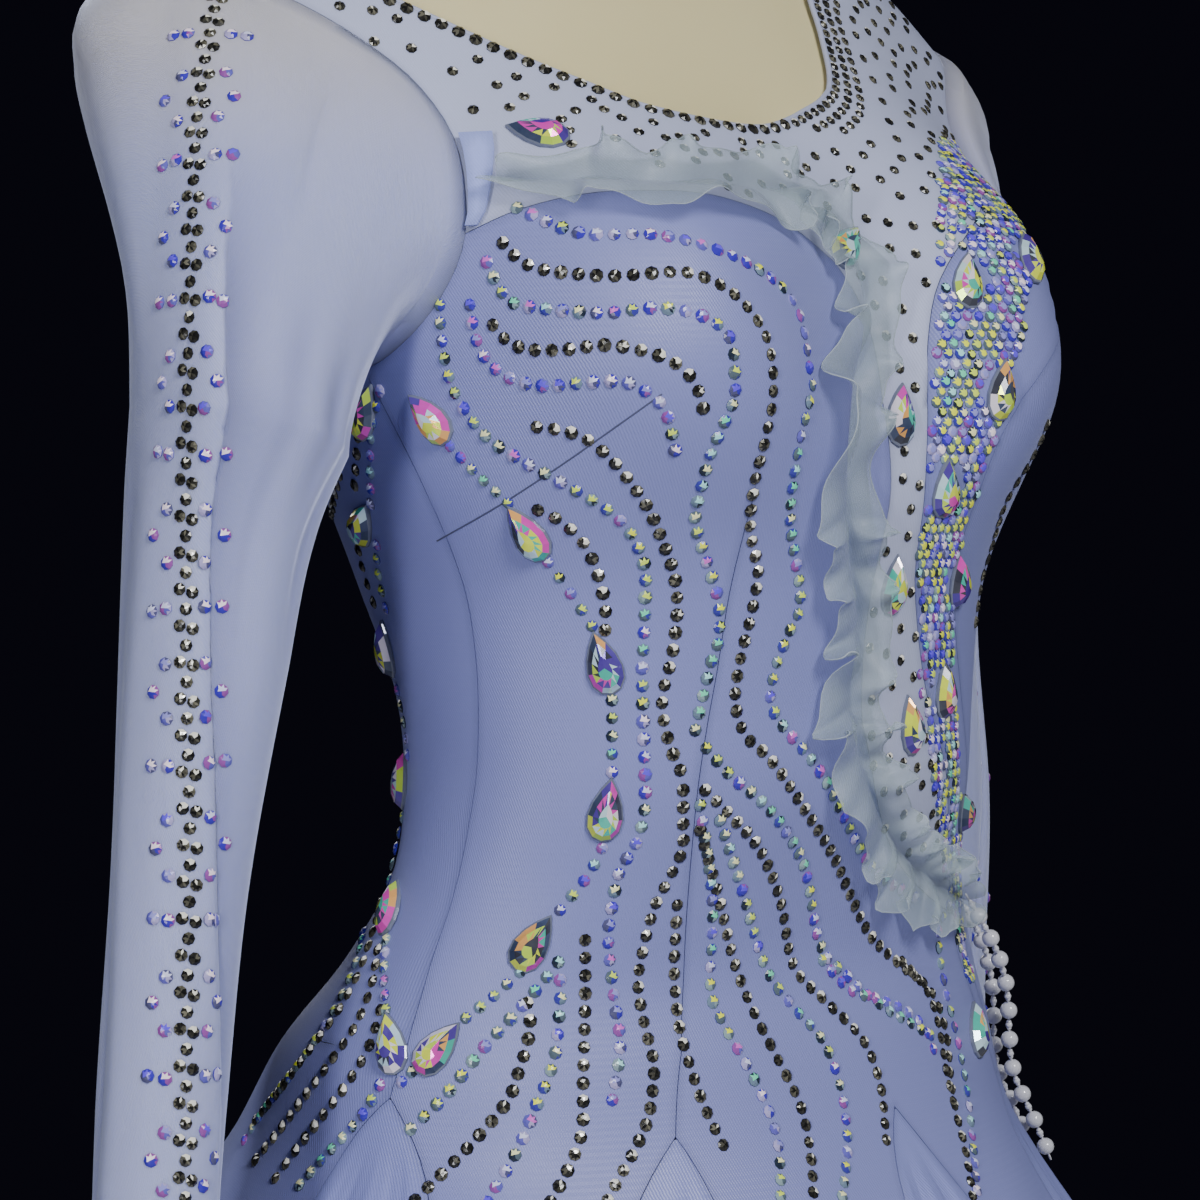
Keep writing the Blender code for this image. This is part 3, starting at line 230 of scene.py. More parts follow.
def evenLine(knots, cells):
    knots = np.array(knots, float)
    along = runAlong(knots * [metresPerDegree, 1.0])
    t = np.linspace(0.0, along[-1], cells + 1)
    if len(knots) == 2:
        return np.stack([np.interp(t, along, knots[:, k]) for k in (0, 1)], -1)
    return np.stack(sectionAt(np.column_stack([along, knots, knots]), t)[:2], -1)


def curved(knots, steps=fine):
    line = np.array(knots, float)
    ends = np.vstack([2 * line[0] - line[1], line, 2 * line[-1] - line[-2]])
    t = (np.arange(steps) / steps)[:, None]
    rows = []
    for a, b, c, d in zip(ends, ends[1:], ends[2:], ends[3:]):
        rows.append(0.5 * (2 * b + (c - a) * t + (2 * a - 5 * b + 4 * c - d) * t**2
                           + (3 * b - a - 3 * c + d) * t**3))
    return np.vstack(rows + [line[-1:]])


def straight(knots, steps=fine):
    line = np.array(knots, float)
    at = np.linspace(0, len(line) - 1, (len(line) - 1) * steps + 1)
    return np.stack([np.interp(at, np.arange(len(line)), line[:, k]) for k in range(line.shape[1])], -1)


def armLine(side, first, last):
    ring = np.array(armhole * 3, float)
    whole = curved(ring)[len(armhole) * fine:len(armhole) * fine * 2 + 1]
    step = 1 if last >= first else -1
    rows = whole[np.arange(first * fine, last * fine + step, step) % (len(armhole) * fine)]
    return np.stack([side * (90 - rows[:, 0]), rows[:, 1]], -1)


def join(*lines):
    return np.concatenate([lines[0]] + [line[1:] for line in lines[1:]])


def hipLine(*stops):
    line = []
    for (angle, cells), following in zip(stops[:-1], stops[1:]):
        line += [(angle + (following[0] - angle) * k / cells, hip) for k in range(cells)]
    return straight(line + [(stops[-1][0], hip)])


def patch(bottom, top, left, right):
    u = np.linspace(0, 1, len(bottom))[None, :, None]
    v = np.linspace(0, 1, len(left))[:, None, None]
    edges = (1 - v) * bottom[None] + v * top[None] + (1 - u) * left[:, None] + u * right[:, None]
    corners = ((1 - u) * (1 - v) * bottom[0] + u * (1 - v) * bottom[-1]
               + (1 - u) * v * top[0] + u * v * top[-1])
    return edges - corners


def ruled(bottom, top, rows):
    v = np.linspace(0, 1, rows * fine + 1)[:, None, None]
    return bottom[None] * (1 - v) + top[None] * v


# cloth
cloth = dict(wall=0.0012, lift=0.0010, seamGap=0.00035, laidOn=0.0025, bandLift=0.0016)


def edgeDistance(places, border):
    ends = np.array([places[pair[0]] for pair in border])
    apart, atOnce = np.empty(len(places)), 400
    for k in range(0, len(places), atOnce):
        block = places[k:k + atOnce, None, :] - ends[None]
        apart[k:k + atOnce] = np.sqrt((block**2).sum(axis=2).min(axis=1))
    return apart


class Panel:
    def __init__(self, inMetres=False):
        self.keys, self.faces, self.inMetres = {}, [], inMetres
        self.places, self.normals, self.flat, self.shade = [], [], [], None

    def corner(self, flat, place, normal, tag):
        key = (round(flat[0], 4), round(flat[1], 6), tag)
        if key not in self.keys:
            self.keys[key] = len(self.places)
            self.places.append(place)
            self.normals.append(normal)
            self.flat.append(tuple(flat))
        return self.keys[key]

    def add(self, flat, places, normals, tags=None):
        rows, columns = flat.shape[:2]
        index = [[self.corner(flat[i, j], places[i, j], normals[i, j], tags(i, j) if tags else "")
                  for j in range(columns)] for i in range(rows)]
        for low, high in zip(index, index[1:]):
            for j in range(columns - 1):
                face = (low[j], low[j + 1], high[j + 1], high[j])
                if len(set(face)) > 2:
                    self.faces.append(tuple(dict.fromkeys(face)))

    def lay(self, flat, tags=None):
        angle, height = flat[..., 0], flat[..., 1]
        self.add(flat, surface(dressTable, angle, height), surfaceNormal(dressTable, angle, height), tags)

    def border(self):
        edges = {}
        for face in self.faces:
            for a, b in zip(face, face[1:] + face[:1]):
                edges[(a, b)] = face
        return {pair: face for pair, face in edges.items() if (pair[1], pair[0]) not in edges}

    def pulledBack(self, distance):
        places = np.array(self.places)
        inward = {}
        for (a, b), face in self.border().items():
            along = unit(places[b] - places[a])
            side = np.mean([places[k] for k in face], axis=0) - places[a]
            side = unit(side - along * np.dot(side, along))
            inward.setdefault(a, []).append(side)
            inward.setdefault(b, []).append(side)
        moved = places.copy()
        for k, sides in inward.items():
            total = np.sum(sides, axis=0)
            size = np.linalg.norm(total)
            if size > 0.4:
                reach = min(1.0 / max(np.dot(total / size, sides[0]), 0.4), 2.0)
                moved[k] = places[k] + total / size * distance * reach
        return moved


def laidFlat(panel):
    # where each corner lies on the cutting table, in metres
    flat = np.array(panel.flat, float)
    if panel.inMetres:
        return flat
    middle = (flat[:, 0].min() + flat[:, 0].max()) / 2
    radius = radiusAt(dressTable, np.radians(flat[:, 0]), flat[:, 1])[0]
    return np.stack([np.radians(flat[:, 0] - middle) * radius, flat[:, 1]], -1)


def newMesh(name, points, faces=(), marks=None):
    # marks gives each facet a number that its material reads
    mesh = bpy.data.meshes.new(name)
    mesh.from_pydata(points, [], faces)
    if marks is not None:
        mesh.attributes.new("facet", "FLOAT", "FACE").data.foreach_set("value", marks)
    return mesh


def fit(made, slot, *nodes):
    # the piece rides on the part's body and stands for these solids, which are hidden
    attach(made, "root")
    if nodes:
        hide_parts(*nodes)
    return made


def link(name, mesh, finish, smooth=True):
    made = bpy.data.objects.new(name, mesh)
    bpy.context.scene.collection.objects.link(made)
    mesh.materials.clear()
    mesh.materials.append(finish)
    if smooth:
        mesh.shade_smooth()
    return made


def sew(name, panel, finish, lift, wall, gap):
    places, normals, border = panel.pulledBack(gap), np.array(panel.normals), panel.border()
    count = len(places)
    points = np.concatenate([places + normals * (lift + wall), places + normals * lift])
    faces = [tuple(face) for face in panel.faces]
    faces += [tuple(count + k for k in reversed(face)) for face in panel.faces]
    faces += [(b, a, count + a, count + b) for a, b in border]
    mesh = newMesh(name, points.tolist(), faces)
    apart = edgeDistance(places, border)
    # on the sleeves the painted shade of the folds is written in as nearness to a seam, so the seam tint
    # darkens the folds too
    if panel.shade is not None:
        apart = np.minimum(apart, (1 - panel.shade) * sleeveLook["seamReach"])
    mesh.attributes.new("edgeAndFoldShade", "FLOAT", "POINT").data.foreach_set("value", np.concatenate([apart, apart]))
    flat = laidFlat(panel)
    cut = np.concatenate([flat, flat])
    layer = mesh.uv_layers.new(name="cut")
    loops = np.empty(len(mesh.loops), int)
    mesh.loops.foreach_get("vertex_index", loops)
    layer.data.foreach_set("uv", cut[loops].astype(np.float32).ravel())
    made = link(name, mesh, finish)
    mesh.set_sharp_from_angle(angle=radians(60))
    return made


skins = {}      # what the stones are laid on: points and faces of each panel's outside

# skirt
godets = {
    "godetSideRight": dict(node="godet_side_right", angle=-79.5, row=1, least=0.0),
    "godetFrontRight": dict(node="godet_front_right", angle=-38.0, row=2, least=0.0),
    "godetFront": dict(node="godet_front", angle=17.0, row=2, least=0.0),
    "godetFrontLeft": dict(node="godet_front_left", angle=60.0, row=2, least=2.0),
    "godetSideLeft": dict(node="godet_side_left", angle=91.0, row=1, least=0.0),
    "godetBackLeft": dict(node="godet_back_left", angle=134.0, row=2, least=0.0),
    "godetBack": dict(node="godet_back", angle=180.0, row=2, least=0.0),
    "godetBackRight": dict(node="godet_back_right", angle=230.0, row=2, least=0.0),
}
flare = dict(half=13.0, opens=0.035, folds=2.5, wave=0.076, flatBelow=0.020, wavedFrom=0.070,
             tip=0.03, tipWide=0.0, columns=12, pleats=0.16, pleatRate=3.4, pleatShift=0.9, easeIn=8,
             easeOut=6, goreWave=0.012, cutToHip="godetFrontRight")


def godetHalf(godet, height):
    drop = np.maximum(legHeights[godet["row"]] - height, 0.0)
    return np.maximum(flare["half"] * (1 - np.exp(-drop / flare["opens"])), godet["least"])


def fall(height):
    return np.clip((hip - height) / (hip - hem), 0.0, 1.0)


def wavedGrid(flat, waves):
    rows, columns = flat.shape[:2]
    across = np.linspace(0, 1, columns)[None, :] * np.ones((rows, 1))
    height = flat[..., 1]

    def at(shift, lift):
        angle = flat[..., 0] + shift * (flat[:, -1:, 0] - flat[:, :1, 0])
        return surface(dressTable, angle, height + lift,
                       waves(np.clip(across + shift, 0, 1), height + lift))

    waved = unit(np.cross(at(0.01, 0.0) - at(-0.01, 0.0), at(0.0, 0.002) - at(0.0, -0.002)))
    plain = surfaceNormal(dressTable, flat[..., 0], height)
    inside = np.clip(6 * np.minimum(across, 1 - across), 0, 1)[..., None]
    narrow = np.clip(fall(height)[..., None] * 8, 0, 1)
    return at(0.0, 0.0), unit(plain * (1 - inside * narrow) + waved * inside * narrow)


def goreWaves(across, height):
    return flare["goreWave"] * fall(height) * np.sin(pi * across)**2


def godetWaves(godet):
    def waves(across, height):
        width = 2 * np.radians(godetHalf(godet, height)) * radiusAt(dressTable, 0.0, height)[0]
        grown = np.clip((width - flare["flatBelow"]) / (flare["wavedFrom"] - flare["flatBelow"]), 0, 1)
        last, first = np.minimum(1, flare["easeOut"] * (1 - across)), np.minimum(1, flare["easeIn"] * across)
        folds = np.sin(2 * pi * flare["folds"] * across) * last
        rate = flare["pleatRate"] * flare["folds"]
        pleats = flare["pleats"] * np.sin(2 * pi * rate * across + flare["pleatShift"]) * last * first
        return flare["wave"] * width * grown * (folds + pleats)
    return waves


def addLeg(panel, leftName, rightName, edges):
    left, right = dict(godets[leftName]), dict(godets[rightName])
    if right["angle"] < left["angle"]:
        right["angle"] += 360.0
    across = (edges - edges[0]) / (edges[-1] - edges[0])
    heights = straight(np.array(legHeights)[:, None])[:, 0]
    first = left["angle"] + godetHalf(left, heights)
    last = right["angle"] - godetHalf(right, heights)
    angle = first[:, None] + (last - first)[:, None] * across
    flat = np.stack([angle, np.broadcast_to(heights[:, None], angle.shape)], -1)[::-1]
    places, normals = wavedGrid(flat, goreWaves)
    columns, lastRow = len(edges) - 1, len(heights) - 1

    def tags(i, j):
        row = lastRow - i
        if j == 0:
            return "east" if row > left["row"] * fine or leftName == flare["cutToHip"] else ""
        if j == columns:
            return "west" if row > right["row"] * fine or rightName == flare["cutToHip"] else ""
        return ""

    panel.add(flat, places, normals, tags)


def godetPanel(godet):
    heights = straight(np.array(legHeights[godet["row"]:])[:, None])[:, 0]
    half = godetHalf(godet, heights)
    share = 4 * (flare["tip"] if godet["least"] == 0.0 else flare["tipWide"])
    half[0] = half[0] + (half[1] - half[0]) * share
    heights[0] = heights[0] + (heights[1] - heights[0]) * share
    across = np.linspace(0, 1, flare["columns"] * fine + 1)
    angle = godet["angle"] + (2 * across[None, :] - 1) * half[:, None]
    flat = np.stack([angle, np.broadcast_to(heights[:, None], angle.shape)], -1)[::-1]
    panel = Panel()
    places, normals = wavedGrid(flat, godetWaves(godet))
    panel.add(flat, places, normals)
    return panel


# fitted body
def seam(knots, cells):
    return curved(knots if len(knots) == cells + 1 else evenLine(knots, cells))


def frontRightPanel():
    princessLine = curved(princess)
    sideHip, chestHip = hipLine((-79.5, 6), (-38, 0)), hipLine((-38, 5), (5, 0))
    wedgeHip = hipLine((5, 1), (17, 3), (58, 0))
    panel, slit = Panel(), princessTop * fine

    def west(i, j):
        return "west" if j == len(sideHip) - 1 and i < slit else ""

    def east(i, j):
        return "east" if j == 0 and i < slit else ""

    top = join(armLine(-1, armUnder, armYoke), curved(yokeSeam))
    panel.lay(patch(sideHip, top, seam(sideRight, bodyRows), princessLine), west)
    rise = seam([(5, hip), wedgeFoot[0]], hipRows)
    inner = join(rise, curved(wedgeSide)[::-1], curved(chestFall)[::-1])
    panel.lay(patch(chestHip, curved(chestSeam), princessLine, inner), east)
    panel.lay(patch(wedgeHip, curved(wedgeFoot), rise, curved(hipToWedge)))
    addLeg(panel, "godetSideRight", "godetFrontRight", sideHip[:, 0])
    addLeg(panel, "godetFrontRight", "godetFront", join(chestHip, wedgeHip[:fine + 1])[:, 0])
    addLeg(panel, "godetFront", "godetFrontLeft", wedgeHip[fine:, 0])
    return panel


def frontLeftPanel():
    panel, hipRow = Panel(), hipLine((62, 8), (91, 0))
    top = join(curved(stripOuterTop), armLine(1, armYoke, armUnder))
    panel.lay(patch(hipRow, top, curved(stripOuter), seam(sideLeft, bodyRows)))
    addLeg(panel, "godetFrontLeft", "godetSideLeft", hipRow[:, 0])
    return panel


def backPanel(side):
    centre, panel = seam(centreBack, bodyRows), Panel()
    if side > 0:
        outer, inner = hipLine((91, 4), (134, 0)), hipLine((134, 5), (180, 0))
        top = join(armLine(1, armUnder, armBack), seam(backYokeLeft, backYokeCells))
        panel.lay(patch(join(outer, inner), top, seam(sideLeft, bodyRows), centre))
        addLeg(panel, "godetSideLeft", "godetBackLeft", outer[:, 0])
        addLeg(panel, "godetBackLeft", "godetBack", inner[:, 0])
        return panel
    inner, outer = hipLine((180, 5), (230, 0)), hipLine((230, 4), (280.5, 0))
    top = join(seam(backYokeRight, backYokeCells), armLine(-1, armBack, armUnder) + fullTurn)
    panel.lay(patch(join(inner, outer), top, centre, seam(sideRight, bodyRows) + fullTurn))
    addLeg(panel, "godetBack", "godetBackRight", inner[:, 0])
    addLeg(panel, "godetBackRight", "godetSideRight", outer[:, 0])
    return panel


def yokeFrontPanel():
    panel = Panel()
    bottom = join(armLine(-1, 0, armYoke), curved(yokeSeam), curved(chestSeam), curved(chestFall),
                  curved(wedgeTop), curved(stripInnerTop), armLine(1, armStrip, 0))
    panel.lay(ruled(bottom, curved(neckFront), yokeRows))
    left = join(curved(wedgeSide), curved(wedgeFoot))[::-1]
    wedge = patch(np.repeat(left[:1], 2 * fine + 1, axis=0), curved(wedgeTop), left, curved(stripInner))
    wedge[0] = wedge[0] + (wedge[1] - wedge[0]) * 0.4
    panel.lay(wedge)
    return panel


def yokeBackPanel():
    panel, shoulder = Panel(), len(armhole)
    bottom = join(armLine(1, shoulder, armBack), seam(backYokeLeft, backYokeCells),
                  seam(backYokeRight, backYokeCells), armLine(-1, armBack, shoulder) + fullTurn)
    panel.lay(ruled(bottom, curved(neckBack), yokeRows))
    return panel


def stripPanel():
    heights = [legHeights[2], legHeights[1], hip]
    inner, outer = hipToWedge[0][0], stripOuter[0][0]
    left = join(curved([(inner, z) for z in heights]), curved(hipToWedge), curved(stripInner),
                curved(stripInnerTop))
    right = join(curved([(outer, z) for z in heights]), curved(stripOuter), curved(stripOuterTop))
    panel = Panel()
    panel.lay(patch(np.linspace((inner, heights[0]), (outer, heights[0]), 2 * fine + 1),
                    armLine(1, armStrip, armYoke), left, right))
    return panel


# the strap along the front of the armhole: widths in degrees along it, from its foot up
strap = dict(fromArmhole=0.6, footUp=0.002, along=(0, 1, 1.25), widths=(1.8, 4.2, 4.6), columns=6)


def bandPanel():
    outer = armLine(-1, armYoke, armYoke - 1)
    above = armLine(-1, armYoke - 1, armStrip)[1]
    outer = join(outer, np.array([outer[-1], above]))
    outer[:, 0] += strap["fromArmhole"]
    outer[0, 1] += strap["footUp"]
    widths = np.interp(np.linspace(0, strap["along"][-1], len(outer)), strap["along"], strap["widths"])
    across = np.linspace(0, 1, strap["columns"] + 1)[None, :, None]
    panel = Panel()
    panel.lay(outer[:, None, :] + np.stack([widths, widths * 0], -1)[:, None, :] * across)
    return panel


# sleeves
sleeveCut = dict(
    right=[(1.190, -0.202, 0.007, 0.0375, 0.0450), (1.150, -0.211, 0.012, 0.0305, 0.0340),
           (1.090, -0.221, 0.011, 0.0260, 0.0280), (1.020, -0.233, 0.008, 0.0215, 0.0225),
           (0.940, -0.245, 0.002, 0.0200, 0.0210), (0.820, -0.259, -0.006, 0.0195, 0.0205)],
    left=[(1.190, 0.203, 0.074, 0.0375, 0.0440), (1.150, 0.208, 0.083, 0.0315, 0.0350),
          (1.090, 0.218, 0.087, 0.0270, 0.0290), (1.020, 0.233, 0.088, 0.0230, 0.0240),
          (0.940, 0.241, 0.094, 0.0205, 0.0215), (0.820, 0.252, 0.100, 0.0195, 0.0205)],
    stand=0.0090, underarmDrop=0.022, dropEnds=0.040, leftTurn=-45.0, turnIn=(0.10, 0.04), leave=(0.12, 0.03),
    arrive=(0.24, 0.025), capRows=22, tubeRows=84)
# soft creases: degrees round the tube from the outside, + to the front; top, foot, depth, width in degrees
creases = [(73, 1.235, 1.060, 0.0011, 11), (104, 1.215, 1.140, 0.0024, 10), (124, 1.205, 1.090, 0.0018, 9),
           (-25, 1.180, 0.850, 0.0010, 12), (200, 1.180, 0.840, 0.0018, 14), (250, 1.200, 0.860, 0.0020, 12),
           (300, 1.190, 0.900, 0.0014, 12)]
# darkAt and darkest set the painted shade in the creases, darkest where a crease is darkAt deep or deeper
creaseLook = dict(wander=5, waves=31, easeTop=0.03, easeFoot=0.05, ridge=0.55, ridgeAt=1.9, darkAt=0.0020,
                  darkest=0.9)
# the pressed fold down the front of each sleeve: the cloth drops sharply behind it and rises slowly
pressedFold = dict(heights=(0.82, 0.94, 1.02, 1.09, 1.155, 1.224, 1.30),
                   angles=(138, 122, 86, 56, 41, 31, 24), top=1.285,
                   foot=0.820, depth=0.0028, sharp=2.5, slow=22.0, easeTop=0.06, easeFoot=0.03)


def clearOfBody(points, clearance):
    height = points[..., 2]
    shift = sectionAt(dressTable, height)[3]
    sideways, forward = points[..., 0], shift - points[..., 1]
    least = radiusAt(dressTable, np.arctan2(sideways, forward), height)[0] + clearance
    grow = np.maximum(least / np.hypot(sideways, forward), 1.0)
    moved = points.copy()
    moved[..., 0] = sideways * grow
    moved[..., 1] = shift - forward * grow
    return moved


def sleeveRings(side, tube, turn):
    arm = armLine(side, 0, len(armhole))[:-1]
    count = len(arm)
    start = surface(dressTable, arm[:, 0], arm[:, 1])
    normal = surfaceNormal(dressTable, arm[:, 0], arm[:, 1])
    around = np.linspace(0, 2 * pi, count, endpoint=False)
    low = (1 - np.cos(around)) / 2

    def mixed(pair):
        return (pair[0] + (pair[1] - pair[0]) * low)[:, None]

    turned = around + radians(turn) * low
    table = np.array(sorted(tube))
    tubes = []
    for level in np.linspace(tube[0][0], tube[-1][0], sleeveCut["tubeRows"]):
        drop = sleeveCut["underarmDrop"] * max(0.0, 1 - (tube[0][0] - level) / sleeveCut["dropEnds"])
        height = level - drop * low
        x, y, radiusX, radiusY = sectionAt(table, height)
        outward, forward = radiusX * np.cos(turned), radiusY * np.sin(turned)
        tubes.append(np.stack([x + side * outward, y - forward, height], -1))
    near = arm + (arm.mean(axis=0) - arm) * mixed(sleeveCut["turnIn"])
    lift = (sleeveCut["stand"] * (0.35 + 0.65 * low))[:, None]
    second = (surface(dressTable, near[:, 0], near[:, 1])
              + surfaceNormal(dressTable, near[:, 0], near[:, 1]) * lift)
    towards = start.mean(axis=0) - second
    towards = unit(towards - normal * np.sum(towards * normal, axis=1, keepdims=True))
    lean = (1.0 - 0.75 * low)[:, None]
    leave = unit(towards * lean + normal * (1 - lean)) * mixed(sleeveCut["leave"])
    arrive = np.array([0.0, 0.0, -1.0]) * mixed(sleeveCut["arrive"])
    rings = [start, second]
    for t in np.linspace(0, 1, sleeveCut["capRows"])[1:-1]:
        ring = hermite(t, second, leave, tubes[0], arrive)
        rings.append(clearOfBody(ring, sleeveCut["stand"] * min(1.0, 0.5 + t)))
    return np.array(rings + tubes), normal


def ringNormals(rings, side, first):
    along = np.gradient(rings, axis=0)
    across = np.roll(rings, -1, axis=1) - np.roll(rings, 1, axis=1)
    normal = unit(np.cross(across, along) * side)
    normal[0] = first
    normal[1] = unit(normal[1] + first * 0.8)
    return normal


def finerRound(rings):
    # twice the columns, on a smooth curve through the first ones
    before, after = np.roll(rings, 1, axis=1), np.roll(rings, -1, axis=1)
    between = (9 * (rings + after) - before - np.roll(rings, -2, axis=1)) / 16
    return np.stack([rings, between], axis=2).reshape(rings.shape[0], -1, 3)


def sleevePanel(side, tube, turn):
    rings, first = sleeveRings(side, tube, turn)
    rings, first = finerRound(rings), unit(finerRound(first[None])[0])
    normals = ringNormals(rings, side, first)
    count = rings.shape[1]
    around = np.degrees(np.linspace(0, 2 * pi, count, endpoint=False))[None, :]
    height = rings[..., 2]
    fold = np.zeros(height.shape)
    for angle, top, foot, depth, width in creases:
        sway = creaseLook["wander"] * np.sin(height * creaseLook["waves"] + angle)
        apart = (around - angle + 180) % 360 - 180 + sway
        ease = np.clip((top - height) / creaseLook["easeTop"], 0, 1)
        ease = ease * np.clip((height - foot) / creaseLook["easeFoot"], 0, 1)
        beside = np.exp(-((apart - creaseLook["ridgeAt"] * width) / width)**2)
        fold -= depth * ease * (np.exp(-(apart / width)**2) - creaseLook["ridge"] * beside)
    look = pressedFold
    past = (around - np.interp(height, look["heights"], look["angles"]) + 180) % 360 - 180
    ease = np.clip((look["top"] - height) / look["easeTop"], 0, 1)
    ease = ease * np.clip((height - look["foot"] + look["easeFoot"]) / look["easeFoot"], 0, 1)
    # painted shade: darker where a crease is deeper, and just behind the pressed fold, fading as the cloth
    # rises
    shade = np.clip(-fold / creaseLook["darkAt"], 0, 1) * creaseLook["darkest"]
    behind = np.exp(-past / look["slow"])
    shade = np.maximum(shade, ease * np.where(past > 0, behind, 0.0))
    fold -= look["depth"] * ease * np.where(past > 0, behind, np.exp(past / look["sharp"]))
    rings = rings + normals * fold[..., None]
    normals = ringNormals(rings, side, first)
    columns = np.arange(count + 1)
    flat = np.stack(np.meshgrid(columns % count, np.arange(len(rings))), -1).astype(float)
    panel = Panel(True)
    panel.add(flat, rings[:, columns % count], normals[:, columns % count])
    run = np.cumsum(np.linalg.norm(np.diff(rings, axis=0, prepend=rings[:1]), axis=2), axis=0)
    radius = np.linalg.norm(rings - rings.mean(axis=1, keepdims=True), axis=2).mean(axis=1)
    # laid flat from the underarm seam, with painted shade in the creases and behind the pressed fold
    panel.shade = np.array([shade[int(row), int(column)] for column, row in panel.flat])
    panel.flat = [(radius[int(row)] * 2 * pi * ((column + count / 2) % count) / count,
                   -run[int(row), int(column)]) for column, row in panel.flat]
    return panel


# ruffle
ruffleLine = [(-56, 1.265), (-44, 1.265), (-30, 1.264), (-15, 1.264), (-4, 1.254), (1, 1.236), (-1, 1.215),
              (-7, 1.195), (-10, 1.172), (-9, 1.150), (-4, 1.126), (0, 1.105), (-1, 1.082), (2, 1.064),
              (9, 1.047), (22, 1.030), (40, 1.014), (56, 1.002), (66, 0.995)]
ruffleCut = dict(waves=17, steps=22, rows=17, upper=0.0125, lower=0.018, stand=0.0085, wave=0.0065,
                 scallop=0.30, slip=0.9, lift=0.0006, wall=0.0004, hem=0.00022, taper=1.4, lean=0.0062,
                 drift=((1.1, 3.3, 0.0), (0.7, 7.1, 2.0)), hemSides=5)


def surfaceFrame(line):
    places = surface(dressTable, line[:, 0], line[:, 1])
    out = surfaceNormal(dressTable, line[:, 0], line[:, 1])
    along = unit(np.gradient(places, axis=0))
    return places, along, unit(np.cross(out, along)), out


def rufflePanel():
    look = ruffleCut
    columns = look["waves"] * look["steps"]
    line = evenLine(ruffleLine, columns)
    places, along, across, out = surfaceFrame(line)
    column = np.arange(columns + 1)
    share = column / columns
    ease = np.clip(np.minimum(column, columns - column) / (look["steps"] * look["taper"]) + 0.12, 0, 1)**0.7
    middle = places + out * (cloth["laidOn"] + look["lift"])
    rows = []
    for t in np.linspace(-1, 1, look["rows"]):
        side = 0.0 if t > 0 else look["slip"]
        # the gathers are uneven: their spacing and depth wander along the strip
        phase = 2 * pi * look["waves"] * share + side
        for size, rate, offset in look["drift"]:
            phase = phase + size * np.sin(2 * pi * rate * share + offset + side)
        deep = 0.78 + 0.30 * np.sin(2 * pi * 4.7 * share + 0.4 + 2 * side)
        beat = np.sin(phase) + 0.30 * np.sin(2.7 * phase + 1.1)
        height = look["stand"] * (1 - (1 - abs(t))**2.2) + look["wave"] * beat * deep * abs(t)**0.8 * ease
        width = (look["upper"] if t > 0 else look["lower"]) * ease
        petal = 1 - np.abs(np.sin(phase / 2 + 0.2))         # pointed tips with hollows between them
        width = width * (0.86 + look["scallop"] * (1.7 * petal - 0.2) * deep)
        lean = look["lean"] * np.cos(phase + 0.7) * deep * abs(t)**1.2
        rows.append(middle + across * (t * width)[:, None] + out * height[:, None]
                    + along * lean[:, None])
    grid = np.array(rows)
    normals = unit(np.cross(np.gradient(grid, axis=1), np.gradient(grid, axis=0)))
    normals = normals * np.sign(np.sum(normals * out[None], axis=-1, keepdims=True))
    across = np.linspace(-look["lower"], look["upper"], len(rows))
    flat = np.stack(np.meshgrid(runAlong(places), across), -1)
    panel = Panel(True)
    panel.add(flat, grid, normals)
    panel.hems = [grid[0], grid[-1]]
    return panel


# node helpers
def feed(tree, node, inputs):
    # each input takes the output of another node or a plain value
    for key, value in inputs.items():
        if isinstance(value, bpy.types.NodeSocket):
            tree.links.new(value, node.inputs[key])
        else:
            node.inputs[key].default_value = value


def nodeIn(tree, kind, inputs=None, **settings):
    made = tree.nodes.new(kind)
    for key, value in settings.items():
        setattr(made, key, value)
    feed(tree, made, inputs or {})
    return made


def attribute(tree, name):
    return nodeIn(tree, "ShaderNodeAttribute", attribute_name=name).outputs["Fac"]


def newMaterial(name):
    made = bpy.data.materials.new(name)
    made.use_nodes = True
    return made, made.node_tree, made.node_tree.nodes["Principled BSDF"]


def calc(tree, operation, first, second=0.0, third=0.0):
    return nodeIn(tree, "ShaderNodeMath", {0: first, 1: second, 2: third}, operation=operation).outputs[0]


def mixColours(tree, factor, first, second):
    sides = {}
    for key, colour in ((6, first), (7, second)):
        sides[key] = colour if isinstance(colour, bpy.types.NodeSocket) else (*colour, 1.0)
    return nodeIn(tree, "ShaderNodeMix", {0: factor, **sides}, data_type="RGBA").outputs[2]


def newGroup(name, inputs, outputs):
    tree = bpy.data.node_groups.new(name, "ShaderNodeTree")
    for key, kind, value in inputs:
        socket = tree.interface.new_socket(key, in_out="INPUT", socket_type=kind)
        if value is not None:
            socket.default_value = value
    for key, kind in outputs:
        tree.interface.new_socket(key, in_out="OUTPUT", socket_type=kind)
    return tree, tree.nodes.new("NodeGroupInput"), tree.nodes.new("NodeGroupOutput")


